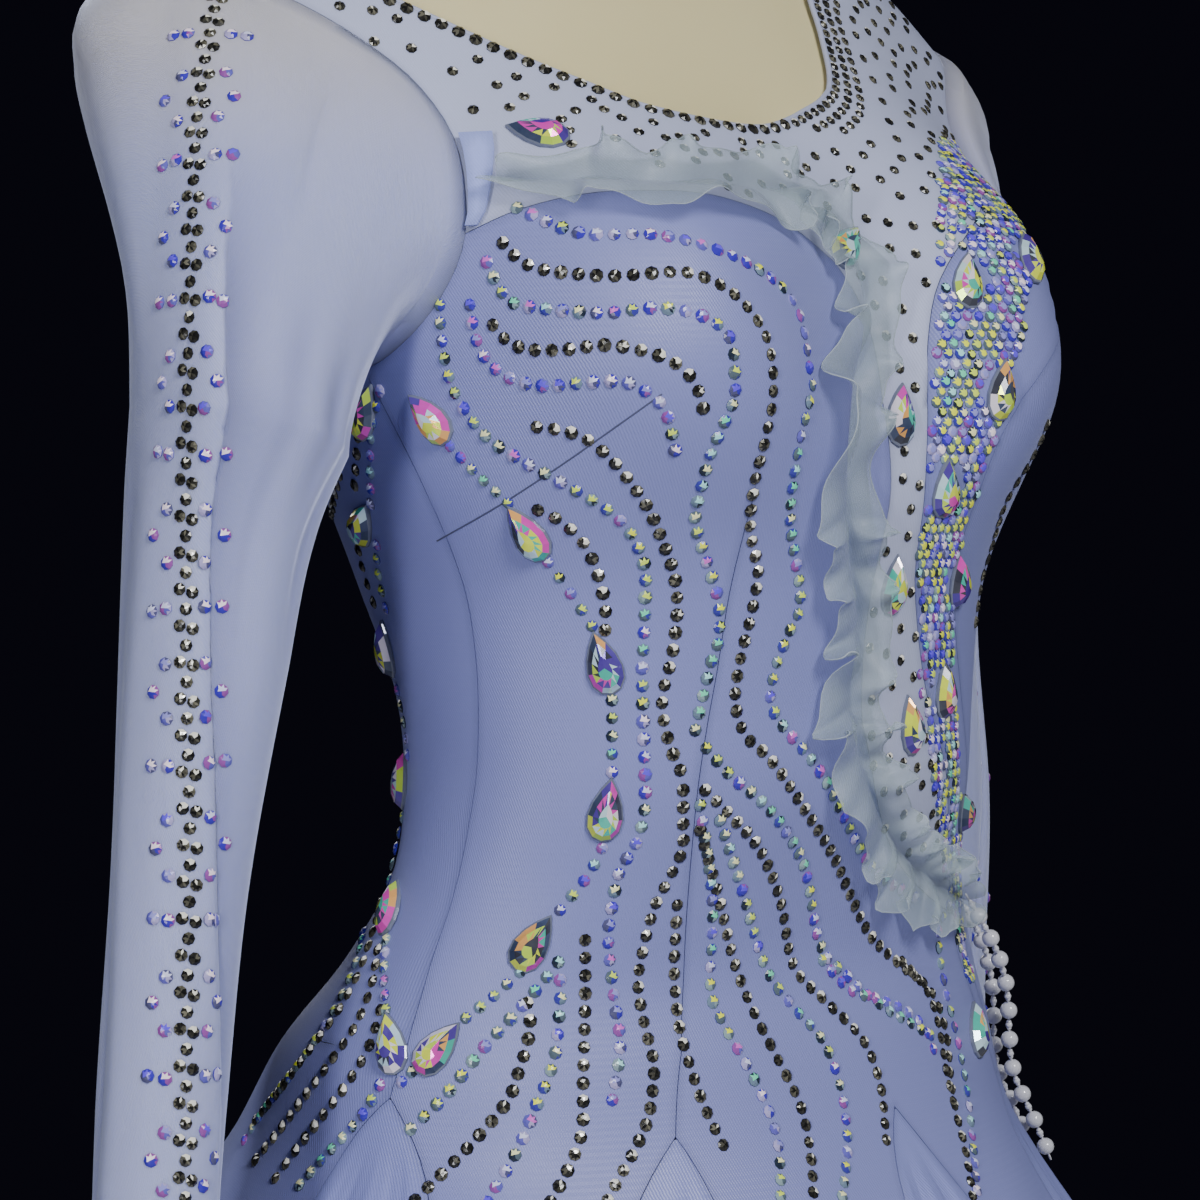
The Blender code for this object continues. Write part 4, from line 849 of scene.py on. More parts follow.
def makeWeaveGroup():
    tree, source, sink = newGroup(
        "weave", [("Vector", "NodeSocketVector", None), ("Pitch", "NodeSocketFloat", 0.0006),
                  ("Slub", "NodeSocketFloat", 0.3)], [("Height", "NodeSocketFloat")])
    turn = calc(tree, "DIVIDE", 2 * pi, source.outputs["Pitch"])
    parts = nodeIn(tree, "ShaderNodeSeparateXYZ", {0: source.outputs["Vector"]})
    across = calc(tree, "MULTIPLY", parts.outputs[0], turn)
    along = calc(tree, "MULTIPLY", parts.outputs[1], turn)
    twill = calc(tree, "SINE", calc(tree, "ADD", across, calc(tree, "MULTIPLY", along, 0.5)))
    yarn = calc(tree, "MULTIPLY", calc(tree, "SINE", across), calc(tree, "SINE", along))
    noise = nodeIn(tree, "ShaderNodeTexNoise", {"Vector": source.outputs["Vector"], "Scale": 900.0,
                                                "Detail": 2.0})
    slub = calc(tree, "MULTIPLY", noise.outputs[0], source.outputs["Slub"])
    total = calc(tree, "ADD", calc(tree, "MULTIPLY_ADD", twill, 0.35, slub),
                 calc(tree, "MULTIPLY", yarn, 0.2))
    tree.links.new(total, sink.inputs[0])
    return tree


def makeMottleGroup():
    tree, source, sink = newGroup("mottle", [("Vector", "NodeSocketVector", None)],
                                  [("Broad", "NodeSocketFloat"), ("Fine", "NodeSocketFloat")])
    for socket, scale in enumerate((9.0, 160.0)):
        noise = nodeIn(tree, "ShaderNodeTexNoise",
                       {"Vector": source.outputs[0], "Scale": scale, "Detail": 3.0})
        tree.links.new(noise.outputs[0], sink.inputs[socket])
    return tree


weaveGroup, mottleGroup = makeWeaveGroup(), makeMottleGroup()


def mottledPlace(tree):
    # a place in the piece's own metres, then the broad and fine mottle there
    place = nodeIn(tree, "ShaderNodeTexCoord").outputs["Object"]
    return place, nodeIn(tree, "ShaderNodeGroup", {0: place}, node_tree=mottleGroup).outputs


def clothMaterial(name, look):
    made, tree, shader = newMaterial(name)
    place, mottle = mottledPlace(tree)
    cut = nodeIn(tree, "ShaderNodeUVMap", uv_map="cut").outputs[0]
    weave = nodeIn(tree, "ShaderNodeGroup", node_tree=weaveGroup)
    feed(tree, weave, {0: cut, 1: look["pitch"], 2: look["slub"]})
    # darker near seams; on the sleeves the same tint is also painted shade in the creases and behind the
    # pressed fold
    fromSeamAndFold = calc(tree, "DIVIDE", attribute(tree, "edgeAndFoldShade"), look["seamReach"])
    seamAndFoldShade = calc(tree, "SUBTRACT", 1.0, calc(tree, "SMOOTH_MIN", fromSeamAndFold, 1.0, 0.2))
    varied = mixColours(tree, mottle[0], look["colour"], look["second"])
    varied = mixColours(tree, calc(tree, "MULTIPLY", weave.outputs[0], look["weaveTint"]), varied,
                        look["yarn"])
    if look["warm"]:
        # sheer cloth over the shoulder lets the cream of the form through
        level = nodeIn(tree, "ShaderNodeSeparateXYZ", {0: place}).outputs[2]
        over = nodeIn(tree, "ShaderNodeMapRange", {0: level, 1: look["warmFrom"], 2: look["warmTo"], 3: 0.0,
                                                   4: look["warm"]}, interpolation_type="SMOOTHSTEP")
        varied = mixColours(tree, over.outputs[0], varied, look["cream"])
    varied = mixColours(tree, calc(tree, "MULTIPLY", seamAndFoldShade, look["seamAndFoldShadeTint"]), varied, look["seam"])
    creased = nodeIn(tree, "ShaderNodeTexNoise", {"Vector": place, "Scale": look["creaseScale"],
                                                  "Detail": 2.5, "Distortion": 0.6})
    broad = nodeIn(tree, "ShaderNodeBump", {"Strength": look["crease"], "Distance": 0.004,
                                            "Height": creased.outputs[0]})
    fineBump = nodeIn(tree, "ShaderNodeBump", {"Strength": look["weaveBump"], "Distance": 0.00012,
                                               "Height": weave.outputs[0], "Normal": broad.outputs[0]})
    feed(tree, shader, {
        "Base Color": varied, "Normal": fineBump.outputs[0], "Specular IOR Level": look["specular"],
        "Roughness": calc(tree, "MULTIPLY_ADD", mottle[1], 0.10, look["roughness"] - 0.05),
        "Sheen Weight": look["sheen"], "Sheen Roughness": 0.45, "Sheen Tint": (*look["sheenTint"], 1.0),
        "Alpha": look["alpha"], "Subsurface Weight": look["subsurface"], "Subsurface Scale": 1.0,
        "Subsurface Radius": (0.0035, 0.0035, 0.0045)})
    return made


satinLook = dict(colour=(0.208, 0.230, 0.530), second=(0.232, 0.254, 0.560), yarn=(0.29, 0.31, 0.61),
                 seam=(0.120, 0.135, 0.280), roughness=0.42, specular=0.50, sheen=0.20, subsurface=0.0,
                 sheenTint=(0.70, 0.76, 1.0), alpha=1.0, pitch=0.0012, slub=0.35, weaveTint=0.45, warm=0.0,
                 weaveBump=0.9, creaseScale=14.0, crease=0.08, seamReach=0.0035, seamAndFoldShadeTint=0.35,
                 warmFrom=1.255, warmTo=1.335, cream=(0.70, 0.66, 0.62))
bandLook = dict(satinLook, colour=(0.36, 0.43, 0.92), second=(0.42, 0.49, 0.96), yarn=(0.48, 0.55, 0.98),
                roughness=0.30)
godetLook = dict(satinLook, colour=(0.215, 0.243, 0.580), second=(0.262, 0.290, 0.630), roughness=0.38)
meshLook = dict(satinLook, colour=(0.540, 0.585, 0.830), second=(0.590, 0.635, 0.870),
                yarn=(0.68, 0.72, 0.92), roughness=0.55, specular=0.35, sheen=0.35, alpha=0.74,
                pitch=0.0014, weaveTint=0.5, weaveBump=0.7, crease=0.06, seamAndFoldShadeTint=0.2)
# the sleeves' dark seam colour and strong seam tint also paint the shade in their creases and behind the
# pressed fold
sleeveLook = dict(satinLook, colour=(0.420, 0.460, 0.920), second=(0.460, 0.500, 0.950),
                  yarn=(0.58, 0.62, 0.99), seam=(0.110, 0.120, 0.200), roughness=0.50, specular=0.35,
                  sheen=1.0, subsurface=0.75, alpha=0.90, weaveTint=0.5, weaveBump=0.6, crease=0.03,
                  seamAndFoldShadeTint=0.6, warm=0.75)
tulleLook = dict(satinLook, colour=(0.380, 0.470, 0.520), second=(0.430, 0.520, 0.560),
                 yarn=(0.55, 0.63, 0.66), seam=(0.60, 0.68, 0.70), roughness=0.45, specular=0.4,
                 sheen=0.3, alpha=0.33, pitch=0.0016, weaveTint=0.3, weaveBump=0.3, creaseScale=40.0,
                 crease=0.03, seamReach=0.0010, seamAndFoldShadeTint=0.4)
hemLook = dict(tulleLook, colour=(0.50, 0.57, 0.62), second=(0.58, 0.65, 0.70), roughness=0.35, alpha=0.55)
finishes = {
    "satin": clothMaterial("satinCloth", satinLook),
    "godet_satin": clothMaterial("godetCloth", godetLook),
    "mesh": clothMaterial("meshCloth", meshLook),
    "sleeve_mesh": clothMaterial("sleeveCloth", sleeveLook),
    "tulle": clothMaterial("tulleCloth", tulleLook),
    "hem": clothMaterial("hemThread", hemLook),
    "band": clothMaterial("bandSatin", bandLook),
}

# the cloth pieces
clothPieces = [
    # name, panel, slot, node
    ("frontRight", frontRightPanel(), "satin", "front_right"),
    ("frontLeft", frontLeftPanel(), "satin", "front_left"),
    ("backLeft", backPanel(1), "satin", "back_left"),
    ("backRight", backPanel(-1), "satin", "back_right"),
    ("yokeFront", yokeFrontPanel(), "mesh", "yoke_front"),
    ("yokeBack", yokeBackPanel(), "mesh", "yoke_back"),
    ("strip", stripPanel(), "satin", "beaded_strip"),
    ("armholeBand", bandPanel(), "satin", "armhole_band"),
    ("sleeveRight", sleevePanel(-1, sleeveCut["right"], 0.0), "sleeve_mesh", "sleeve_right"),
    ("sleeveLeft", sleevePanel(1, sleeveCut["left"], sleeveCut["leftTurn"]), "sleeve_mesh", "sleeve_left"),
    ("ruffleFrill", rufflePanel(), "tulle", "ruffle"),
]
clothPieces += [(name, godetPanel(godet), "godet_satin", godet["node"]) for name, godet in godets.items()]


def tubeMesh(name, routes, radius, sides=6, closed=False):
    points, faces = [], []
    for route in routes:
        along = unit(np.gradient(route, axis=0))
        if closed:
            along = unit(np.roll(route, -1, axis=0) - np.roll(route, 1, axis=0))
        side = unit(np.cross(along, np.array([0.31, 0.2, 0.93])))
        up = np.cross(side, along)
        first, count = len(points), len(route)
        for k in range(count):
            points += [tuple(route[k] + radius * (side[k] * cos(a) + up[k] * sin(a)))
                       for a in np.arange(sides) * 2 * pi / sides]
        for k in range(count if closed else count - 1):
            low, high = first + k * sides, first + (k + 1) % count * sides
            faces += [(low + j, low + (j + 1) % sides, high + (j + 1) % sides, high + j)
                      for j in range(sides)]
        if not closed:
            faces.append(tuple(first + j for j in reversed(range(sides))))
            faces.append(tuple(first + (count - 1) * sides + j for j in range(sides)))
    mesh = newMesh(name, points, faces)
    work = bmesh.new()
    work.from_mesh(mesh)
    bmesh.ops.recalc_face_normals(work, faces=work.faces)
    work.to_mesh(mesh)
    work.free()
    return mesh


def settle(name, panel, slot, node):
    lift, wall, gap, finish = cloth["lift"], cloth["wall"], cloth["seamGap"] / 2, slot
    if slot == "tulle":
        lift, wall, gap = 0.0, ruffleCut["wall"], 0.0
    elif node == "armhole_band":
        lift, finish = cloth["laidOn"] + cloth["bandLift"], "band"
    skins[name] = (np.array(panel.places) + np.array(panel.normals) * (lift + wall), panel.faces)
    return fit(sew(name, panel, finishes[finish], lift, wall, gap), slot, node)


clothMade = {}
for name, panel, slot, node in clothPieces:
    clothMade[name] = settle(name, panel, slot, node)
    if slot == "tulle":
        thread = tubeMesh("ruffleHem", panel.hems, ruffleCut["hem"], ruffleCut["hemSides"])
        ruffleHem = fit(link("ruffleHem", thread, finishes["hem"]), "tulle")
print("cloth hung:", len(clothMade), "pieces")

# the form and its stand
formCut = dict(fullness=0.94, lift=-0.0022, bottom=0.72, top=1.50, rings=150, sides=144, bottomIn=0.93,
               topIn=0.86)
formRidges = [
    # fromFront, height, outTo, height, proud, width
    (7.0, 1.378, 62.0, 1.383, 0.0036, 0.0075),
    (16.0, 1.398, 52.0, 1.402, -0.0026, 0.0090),
]
neckNotch = dict(depth=0.0034, half=8.0, height=1.392, reach=0.010)


def softRidge(angle, height, start, end, proud, width):
    # a low rounded ridge between two places on the form
    line = np.array(end) - np.array(start)
    scale = np.array([0.0019, 1.0])
    length = np.sum((line * scale)**2)
    at = np.stack([angle - start[0], height - start[1]], -1) * scale
    t = np.clip(at @ (line * scale) / length, 0, 1)
    apart = np.linalg.norm(at - t[..., None] * line * scale, axis=-1)
    return proud * np.exp(-(apart / width)**2) * np.sin(pi * (0.12 + 0.76 * t))


def drawnIn(ring, share):
    centre = ring.mean(axis=0)
    return (centre + (ring - centre) * share)[None]


def makeForm():
    heights = np.linspace(formCut["bottom"], formCut["top"], formCut["rings"])
    angles = np.linspace(-180, 180, formCut["sides"], endpoint=False)
    angle, height = np.meshgrid(angles, heights)
    relief = np.zeros(angle.shape)
    for side in (-1, 1):
        for inner, low, outer, high, proud, width in formRidges:
            relief += softRidge(angle, height, (side * inner, low), (side * outer, high), proud, width)
    fromNotch = (height - neckNotch["height"]) / neckNotch["reach"]
    relief -= neckNotch["depth"] * np.exp(-(angle / neckNotch["half"])**2 - fromNotch**2)
    normal = surfaceNormal(torsoTable, angle, height)
    level = normal.copy()
    level[..., 2] = 0.0
    places = surface(torsoTable, angle, height, 0.0, formCut["fullness"]) + level * formCut["lift"]
    places = places + normal * relief[..., None]
    places = np.concatenate([drawnIn(places[0], formCut["bottomIn"]), places,
                             drawnIn(places[-1], formCut["topIn"])])
    count, rows = len(angles), len(places)
    points = places.reshape(-1, 3).tolist()
    faces = []
    for low in range(0, (rows - 1) * count, count):
        faces += [(low + j, low + (j + 1) % count, low + count + (j + 1) % count, low + count + j)
                  for j in range(count)]
    points += [places[0].mean(axis=0).tolist(), places[-1].mean(axis=0).tolist()]
    last = (rows - 1) * count
    faces += [(rows * count, (j + 1) % count, j) for j in range(count)]
    faces += [(rows * count + 1, last + j, last + (j + 1) % count) for j in range(count)]
    mesh = newMesh("dressForm", points, faces)
    made = link("dressForm", mesh, formFinish)
    mesh.set_sharp_from_angle(angle=radians(50))
    return made


formLook = dict(colour=(0.66, 0.575, 0.30), second=(0.72, 0.64, 0.36), roughness=0.46, uneven=0.08,
                pitch=0.0012, bump=0.12, subsurface=0.08)
standLook = dict(colour=(0.62, 0.61, 0.59), second=(0.72, 0.71, 0.69), roughness=0.24, uneven=0.12,
                 metallic=0.85, bump=0.1)


def formMaterial():
    made, tree, shader = newMaterial("formCover")
    place, mottle = mottledPlace(tree)
    weave = nodeIn(tree, "ShaderNodeGroup", node_tree=weaveGroup)
    feed(tree, weave, {0: place, 1: formLook["pitch"]})
    bump = nodeIn(tree, "ShaderNodeBump", {"Strength": formLook["bump"], "Distance": 0.0001,
                                           "Height": weave.outputs[0]})
    feed(tree, shader, {
        "Base Color": mixColours(tree, mottle[0], formLook["colour"], formLook["second"]),
        "Roughness": calc(tree, "MULTIPLY_ADD", mottle[1], formLook["uneven"], formLook["roughness"]),
        "Normal": bump.outputs[0], "Subsurface Weight": formLook["subsurface"],
        "Subsurface Radius": (0.010, 0.006, 0.003), "Subsurface Scale": 0.3})
    return made


def standMaterial():
    made, tree, shader = newMaterial("standEnamel")
    mottle = mottledPlace(tree)[1]
    bump = nodeIn(tree, "ShaderNodeBump", {"Strength": standLook["bump"], "Distance": 0.0002,
                                           "Height": mottle[1]})
    feed(tree, shader, {
        "Base Color": mixColours(tree, mottle[0], standLook["colour"], standLook["second"]),
        "Roughness": calc(tree, "MULTIPLY_ADD", mottle[1], standLook["uneven"], standLook["roughness"]),
        "Metallic": standLook["metallic"], "Normal": bump.outputs[0]})
    return made


formFinish = formMaterial()
dressForm = makeForm()
fit(dressForm, "form", "form_torso")
standFinish = standMaterial()
for name in ("stand_base", "stand_pole"):
    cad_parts[name].data.materials.clear()
    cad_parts[name].data.materials.append(standFinish)

# what shows of each piece as it was cut, before it was hung: how it is held, its width and length, its area
# and what it hangs from
skirtPanels = ["frontRight", "frontLeft", "backLeft", "backRight"]
godetSheet = ("hung", (0.43, 0.91), 0.194, skirtPanels)
sheetCuts = {
    "frontRight": ("hung", (1.00, 1.23), 0.452, ["dressForm"]),
    "frontLeft": ("hung", (0.15, 1.23), 0.063, ["dressForm"]),
    "backLeft": ("hung", (0.55, 1.22), 0.298, ["dressForm"]),
    "backRight": ("hung", (0.64, 1.22), 0.369, ["dressForm"]),
    "yokeFront": ("stretched", (0.42, 0.30), 0.039, ["dressForm"]),
    "yokeBack": ("stretched", (0.59, 0.17), 0.039, ["dressForm"]),
    "strip": ("stretched", (0.12, 0.375), 0.015, ["dressForm"]),
    "armholeBand": ("laid", (0.020, 0.032), 0.0003, ["frontRight"]),
    "sleeveRight": ("hung", (0.49, 0.58), 0.101, ["yokeFront", "yokeBack"]),
    "sleeveLeft": ("hung", (0.49, 0.56), 0.104, ["yokeFront", "yokeBack"]),
    "ruffleFrill": ("gathered", (0.63, 0.031), 0.0194, ["frontRight"]),
}
for name, made in clothMade.items():
    held, cut, area, hangsFrom = sheetCuts.get(name, godetSheet)


# where the stones lie: the outsides of the cloth, as seen by a ray
def skinTree(names):
    points, faces = [], []
    for name in names:
        places, panelFaces = skins[name]
        faces += [tuple(len(points) + k for k in face) for face in panelFaces]
        points += [Vector(place) for place in places]
    return BVHTree.FromPolygons(points, faces)


bodyNames = [row[0] for row in clothPieces if row[2] not in ("sleeve_mesh", "tulle")]
bodySkin, sleeveSkin = skinTree(bodyNames), skinTree(["sleeveRight", "sleeveLeft"])
chance = np.random.default_rng(7)


def rayTo(skin, x, y):
    aim = -eyeBack * focus + eyeRight * (x - halfPicture) - eyeUp * (y - halfPicture)
    place, normal = skin.ray_cast(Vector(eye), Vector(unit(aim)))[:2]
    if place is not None and normal.dot(Vector(aim)) > 0:
        normal = -normal
    return place, normal


def pictureOf(place):
    away = np.asarray(place) - eye
    deep = -away @ eyeBack
    return halfPicture + focus * (away @ eyeRight) / deep, halfPicture - focus * (away @ eyeUp) / deep


widestJump = 0.03       # a line skips a place that lies further on than this


def laidLine(skin, knots, spacing, steps=10):
    places, normals = [], []
    for x, y in curved(knots, steps):
        place, normal = rayTo(skin, x, y)
        if place is not None and (not places or (place - places[-1]).length < widestJump):
            places.append(place)
            normals.append(normal)
    if len(places) < 2:
        print("a line misses the cloth near", knots[0])
        return [], []
    return spaced(np.array(places), np.array(normals), spacing)


def spaced(places, normals, spacing):
    run = runAlong(places)
    at = np.linspace(0, run[-1], max(int(round(run[-1] / spacing)), 1) + 1)
    picked = np.stack([np.interp(at, run, places[:, k]) for k in range(3)], -1)
    return picked, unit(np.stack([np.interp(at, run, normals[:, k]) for k in range(3)], -1))


def chanced(least, spread):
    return least + spread * chance.random()


# tones from 0 to 0.5 are gold and green, from 0.5 to 1 violet and rose
rowLook = dict(beat=0.42, slow=0.55, quick=0.45, gold=0.55, violet=(0.50, 0.49), size=(0.94, 0.12))


class StoneSet:
    def __init__(self):
        self.places, self.spins, self.sizes, self.tones = [], [], [], []

    def put(self, place, normal, size, tone, turn=0.0):
        out = Vector(normal).normalized()
        side = Vector((0.0, 0.0, 1.0)).cross(out)
        side = side.normalized() if side.length > 1e-4 else Vector((1.0, 0.0, 0.0))
        frameAt = Matrix((side, out.cross(side), out)).transposed() @ Matrix.Rotation(turn, 3, "Z")
        self.places.append(tuple(place))
        self.spins.append(tuple(frameAt.to_euler()))
        self.sizes.append(size)
        self.tones.append(tone)

    def row(self, places, normals, size, mood, wander=0.5):
        phase = chance.random() * 6
        for k, (place, normal) in enumerate(zip(places, normals)):
            slow = 0.5 + 0.5 * sin(k * rowLook["beat"] + phase)
            pick = rowLook["slow"] * slow + rowLook["quick"] * chance.random()
            violet = chance.random() < mood
            tone = chanced(*rowLook["violet"]) if violet else rowLook["gold"] * pick
            self.put(place, normal, size * chanced(*rowLook["size"]), tone,
                     (chance.random() - 0.5) * 2 * wander)


# a flat-backed stone of radius 1: radius and height of its rings, the height of its point, and the mark of
# its girdle and back
stoneShape = dict(table=(0.56, 0.46), crown=(1.0, 0.16), back=(0.97, -0.02), point=0.52, plain=0.62)


def cutStone(name, sides, light):
    # table in sectors, crown facets, girdle and back; light marks each facet
    turn = np.arange(sides) * 2 * pi / sides
    half = turn + pi / sides
    points = [(0.0, 0.0, stoneShape["point"])]
    for part, angles in (("table", turn), ("crown", half), ("back", half)):
        radius, height = stoneShape[part]
        points += [(radius * cos(a), radius * sin(a), height) for a in angles]
    faces, marks = [], []
    for k in range(sides):
        n = (k + 1) % sides
        a, b, c, d = 1 + k, 1 + n, 1 + sides + k, 1 + sides + n
        faces += [(0, a, b), (a, c, b), (c, d, b), (c + sides, d + sides, d, c)]
        marks += [light(half[k], 0), light(half[k], 1), light(turn[n] % (2 * pi), 2), stoneShape["plain"]]
    faces.append(tuple(1 + 2 * sides + k for k in reversed(range(sides))))
    marks.append(stoneShape["plain"])
    return bpy.data.objects.new(name, newMesh(name, points, faces, marks))


def ballStone(name, around, rows):
    points, faces = [(0.0, 0.0, -1.0)], []
    for i in range(1, rows):
        tilt = pi * i / rows
        points += [(sin(tilt) * cos(a), sin(tilt) * sin(a), -cos(tilt))
                   for a in np.arange(around) * 2 * pi / around]
    points.append((0.0, 0.0, 1.0))
    for j in range(around):
        n = (j + 1) % around
        faces.append((0, 1 + n, 1 + j))
        for i in range(rows - 2):
            low, high = 1 + i * around, 1 + (i + 1) * around
            faces.append((low + j, low + n, high + n, high + j))
        faces.append((1 + (rows - 2) * around + j, 1 + (rows - 2) * around + n, len(points) - 1))
    mesh = newMesh(name, points, faces)
    mesh.shade_smooth()
    return bpy.data.objects.new(name, mesh)


def stoneNodes():
    tree = bpy.data.node_groups.new("setStones", "GeometryNodeTree")
    for key, kind in (("Points", "NodeSocketGeometry"), ("Stone", "NodeSocketObject"),
                      ("Finish", "NodeSocketMaterial"), ("Scale", "NodeSocketFloat")):
        tree.interface.new_socket(key, in_out="INPUT", socket_type=kind)
    tree.interface.new_socket("Set", in_out="OUTPUT", socket_type="NodeSocketGeometry")
    source, sink = tree.nodes.new("NodeGroupInput"), tree.nodes.new("NodeGroupOutput")
    stone = nodeIn(tree, "GeometryNodeObjectInfo", {"Object": source.outputs["Stone"]})
    spin = nodeIn(tree, "GeometryNodeInputNamedAttribute", {"Name": "spin"}, data_type="FLOAT_VECTOR")
    size = nodeIn(tree, "GeometryNodeInputNamedAttribute", {"Name": "size"}, data_type="FLOAT")
    turned = nodeIn(tree, "FunctionNodeEulerToRotation", {0: spin.outputs[0]})
    scale = calc(tree, "MULTIPLY", size.outputs[0], source.outputs["Scale"])
    placed = nodeIn(tree, "GeometryNodeInstanceOnPoints", {
        "Points": source.outputs["Points"], "Instance": stone.outputs["Geometry"],
        "Rotation": turned.outputs[0], "Scale": scale})
    whole = nodeIn(tree, "GeometryNodeRealizeInstances", {0: placed.outputs[0]})
    done = nodeIn(tree, "GeometryNodeSetMaterial", {"Geometry": whole.outputs[0],
                                                    "Material": source.outputs["Finish"]})
    tree.links.new(done.outputs[0], sink.inputs[0])
    return tree


stoneSetter = stoneNodes()


def setStones(name, stones, cut, finish, slot, replaced=(), scale=0.5, smooth=False):
    mesh = newMesh(name, stones.places)
    spins = mesh.attributes.new("spin", "FLOAT_VECTOR", "POINT")
    spins.data.foreach_set("vector", np.array(stones.spins).ravel())
    for key, values in (("size", stones.sizes), ("tone", stones.tones)):
        mesh.attributes.new(key, "FLOAT", "POINT").data.foreach_set("value", values)
    made = bpy.data.objects.new(name, mesh)
    bpy.context.scene.collection.objects.link(made)
    bpy.context.scene.collection.objects.link(cut)
    setter = made.modifiers.new("setStones", "NODES")
    setter.node_group = stoneSetter
    names = {item.name: item.identifier for item in stoneSetter.interface.items_tree}
    setter[names["Stone"]] = cut
    setter[names["Finish"]] = finish
    setter[names["Scale"]] = scale
    plain = bpy.data.meshes.new_from_object(made.evaluated_get(bpy.context.evaluated_depsgraph_get()))
    made.modifiers.remove(setter)
    made.data = plain
    bpy.context.scene.collection.objects.unlink(cut)
    if smooth:
        plain.shade_smooth()
    else:
        plain.shade_flat()
    fit(made, slot, *replaced)
    print(name, len(stones.places), "stones,", len(plain.polygons), "faces")
    return made


def ramp(tree, factor, stops):
    made = nodeIn(tree, "ShaderNodeValToRGB", {0: factor})
    made.color_ramp.interpolation = "CONSTANT"
    steps = made.color_ramp.elements
    while len(steps) < len(stops):
        steps.new(0.5)
    for step, (position, colour) in zip(steps, stops):
        step.position, step.color = position, (*colour, 1.0)
    return made.outputs[0]


stoneLook = dict(
    roughness=0.16, specular=0.35,
    # glint is the painted reflection on the black stones' bright facets
    black=(0.012, 0.012, 0.012), smoke=(0.20, 0.19, 0.14), glint=(0.98, 0.96, 0.84),
    pearl=(0.66, 0.67, 0.74), pearlGlow=(0.78, 0.76, 0.80),
    toneShare=1.5, litAbove=1.42, litLeast=0.70, cloud=(0.75, 0.80, 0.85),
    rainbow=[(0.00, (0.90, 0.94, 0.06)), (0.14, (0.74, 0.90, 0.12)), (0.26, (0.95, 0.95, 0.50)),
             (0.34, (0.16, 0.80, 0.50)), (0.42, (0.42, 0.88, 0.88)), (0.50, (0.30, 0.30, 0.72)),
             (0.62, (0.70, 0.72, 0.98)), (0.74, (0.14, 0.08, 0.86)), (0.84, (0.72, 0.16, 0.66)),
             (0.92, (1.00, 0.86, 0.98))],
    shade=[(0.00, (0.10, 0.14, 0.17)), (0.14, (0.05, 0.05, 0.36)), (0.24, (0.16, 0.23, 0.31)),
           (0.35, (0.02, 0.03, 0.05)), (0.43, (0.26, 0.36, 0.38)), (0.50, (0.05, 0.03, 0.46)),
           (0.64, (0.30, 0.08, 0.36)), (0.74, (0.13, 0.12, 0.50)), (0.84, (0.42, 0.38, 0.66)),
           (0.93, (0.09, 0.09, 0.20))],
    drop=[(0.00, (0.86, 0.96, 0.04)), (0.13, (0.80, 0.03, 0.50)), (0.23, (0.07, 0.02, 0.34)),
          (0.33, (0.02, 0.02, 0.04)), (0.43, (0.04, 0.58, 0.42)), (0.53, (0.62, 0.86, 0.94)),
          (0.62, (0.03, 0.05, 0.12)), (0.72, (0.62, 0.88, 0.06)), (0.80, (0.95, 0.45, 0.10)),
          (0.86, (0.98, 0.90, 0.98)), (0.94, (0.16, 0.18, 0.26))])


def shuffled(tree, tone, facet, toneStep, facetStep):
    # a number from 0 to 1 that differs from stone to stone and from facet to facet
    return calc(tree, "FRACT", calc(tree, "MULTIPLY_ADD", tone, toneStep,
                                    calc(tree, "MULTIPLY", facet, facetStep)))


def rainbowMaterial():
    made, tree, shader = newMaterial("rainbowStone")
    tone, facet = attribute(tree, "tone"), attribute(tree, "facet")
    cool = calc(tree, "MULTIPLY", calc(tree, "GREATER_THAN", tone, 0.5), 0.5)
    mixed = shuffled(tree, tone, facet, 17.3, 1.9)
    # the lower facets take the shade ramp: coating hues darkened as painted shade
    low = ramp(tree, calc(tree, "MULTIPLY_ADD", mixed, 0.5, cool), stoneLook["shade"])
    main = ramp(tree, tone, stoneLook["rainbow"])
    feed(tree, shader, {
        "Base Color": mixColours(tree, calc(tree, "GREATER_THAN", facet, 0.4), main, low),
        "Roughness": stoneLook["roughness"], "Specular IOR Level": stoneLook["specular"]})
    return made


def blackMaterial():
    made, tree, shader = newMaterial("blackStone")
    tone, facet = attribute(tree, "tone"), attribute(tree, "facet")
    speck = shuffled(tree, tone, facet, 9.1, 3.7)
    body = mixColours(tree, calc(tree, "POWER", speck, 4.0), stoneLook["black"], stoneLook["smoke"])
    # painted reflections: the lower the tone, the more facets take the glint colour
    shown = calc(tree, "MULTIPLY_ADD", tone, -stoneLook["toneShare"], 1.0)
    lit = calc(tree, "GREATER_THAN", calc(tree, "ADD", facet, shown), stoneLook["litAbove"])
    lit = calc(tree, "MULTIPLY", lit, calc(tree, "GREATER_THAN", facet, stoneLook["litLeast"]))
    feed(tree, shader, {"Base Color": mixColours(tree, lit, body, stoneLook["glint"]),
                        "Roughness": 0.14, "Metallic": 0.1})
    return made


def dropMaterial():
    made, tree, shader = newMaterial("dropStone")
    mottle = mottledPlace(tree)[1]
    cloudy = calc(tree, "MULTIPLY", mottle[1], 0.12)
    bright = ramp(tree, attribute(tree, "facet"), stoneLook["drop"])
    colour = mixColours(tree, cloudy, bright, stoneLook["cloud"])
    feed(tree, shader, {"Base Color": colour, "Roughness": 0.08, "Metallic": 0.2})
    return made


def pearlMaterial():
    made, tree, shader = newMaterial("pearlBead")
    mottle = mottledPlace(tree)[1]
    feed(tree, shader, {
        "Base Color": mixColours(tree, mottle[1], stoneLook["pearl"], stoneLook["pearlGlow"]),
        "Roughness": 0.18, "Sheen Weight": 0.3, "Coat Weight": 0.5, "Coat Roughness": 0.06})
    return made


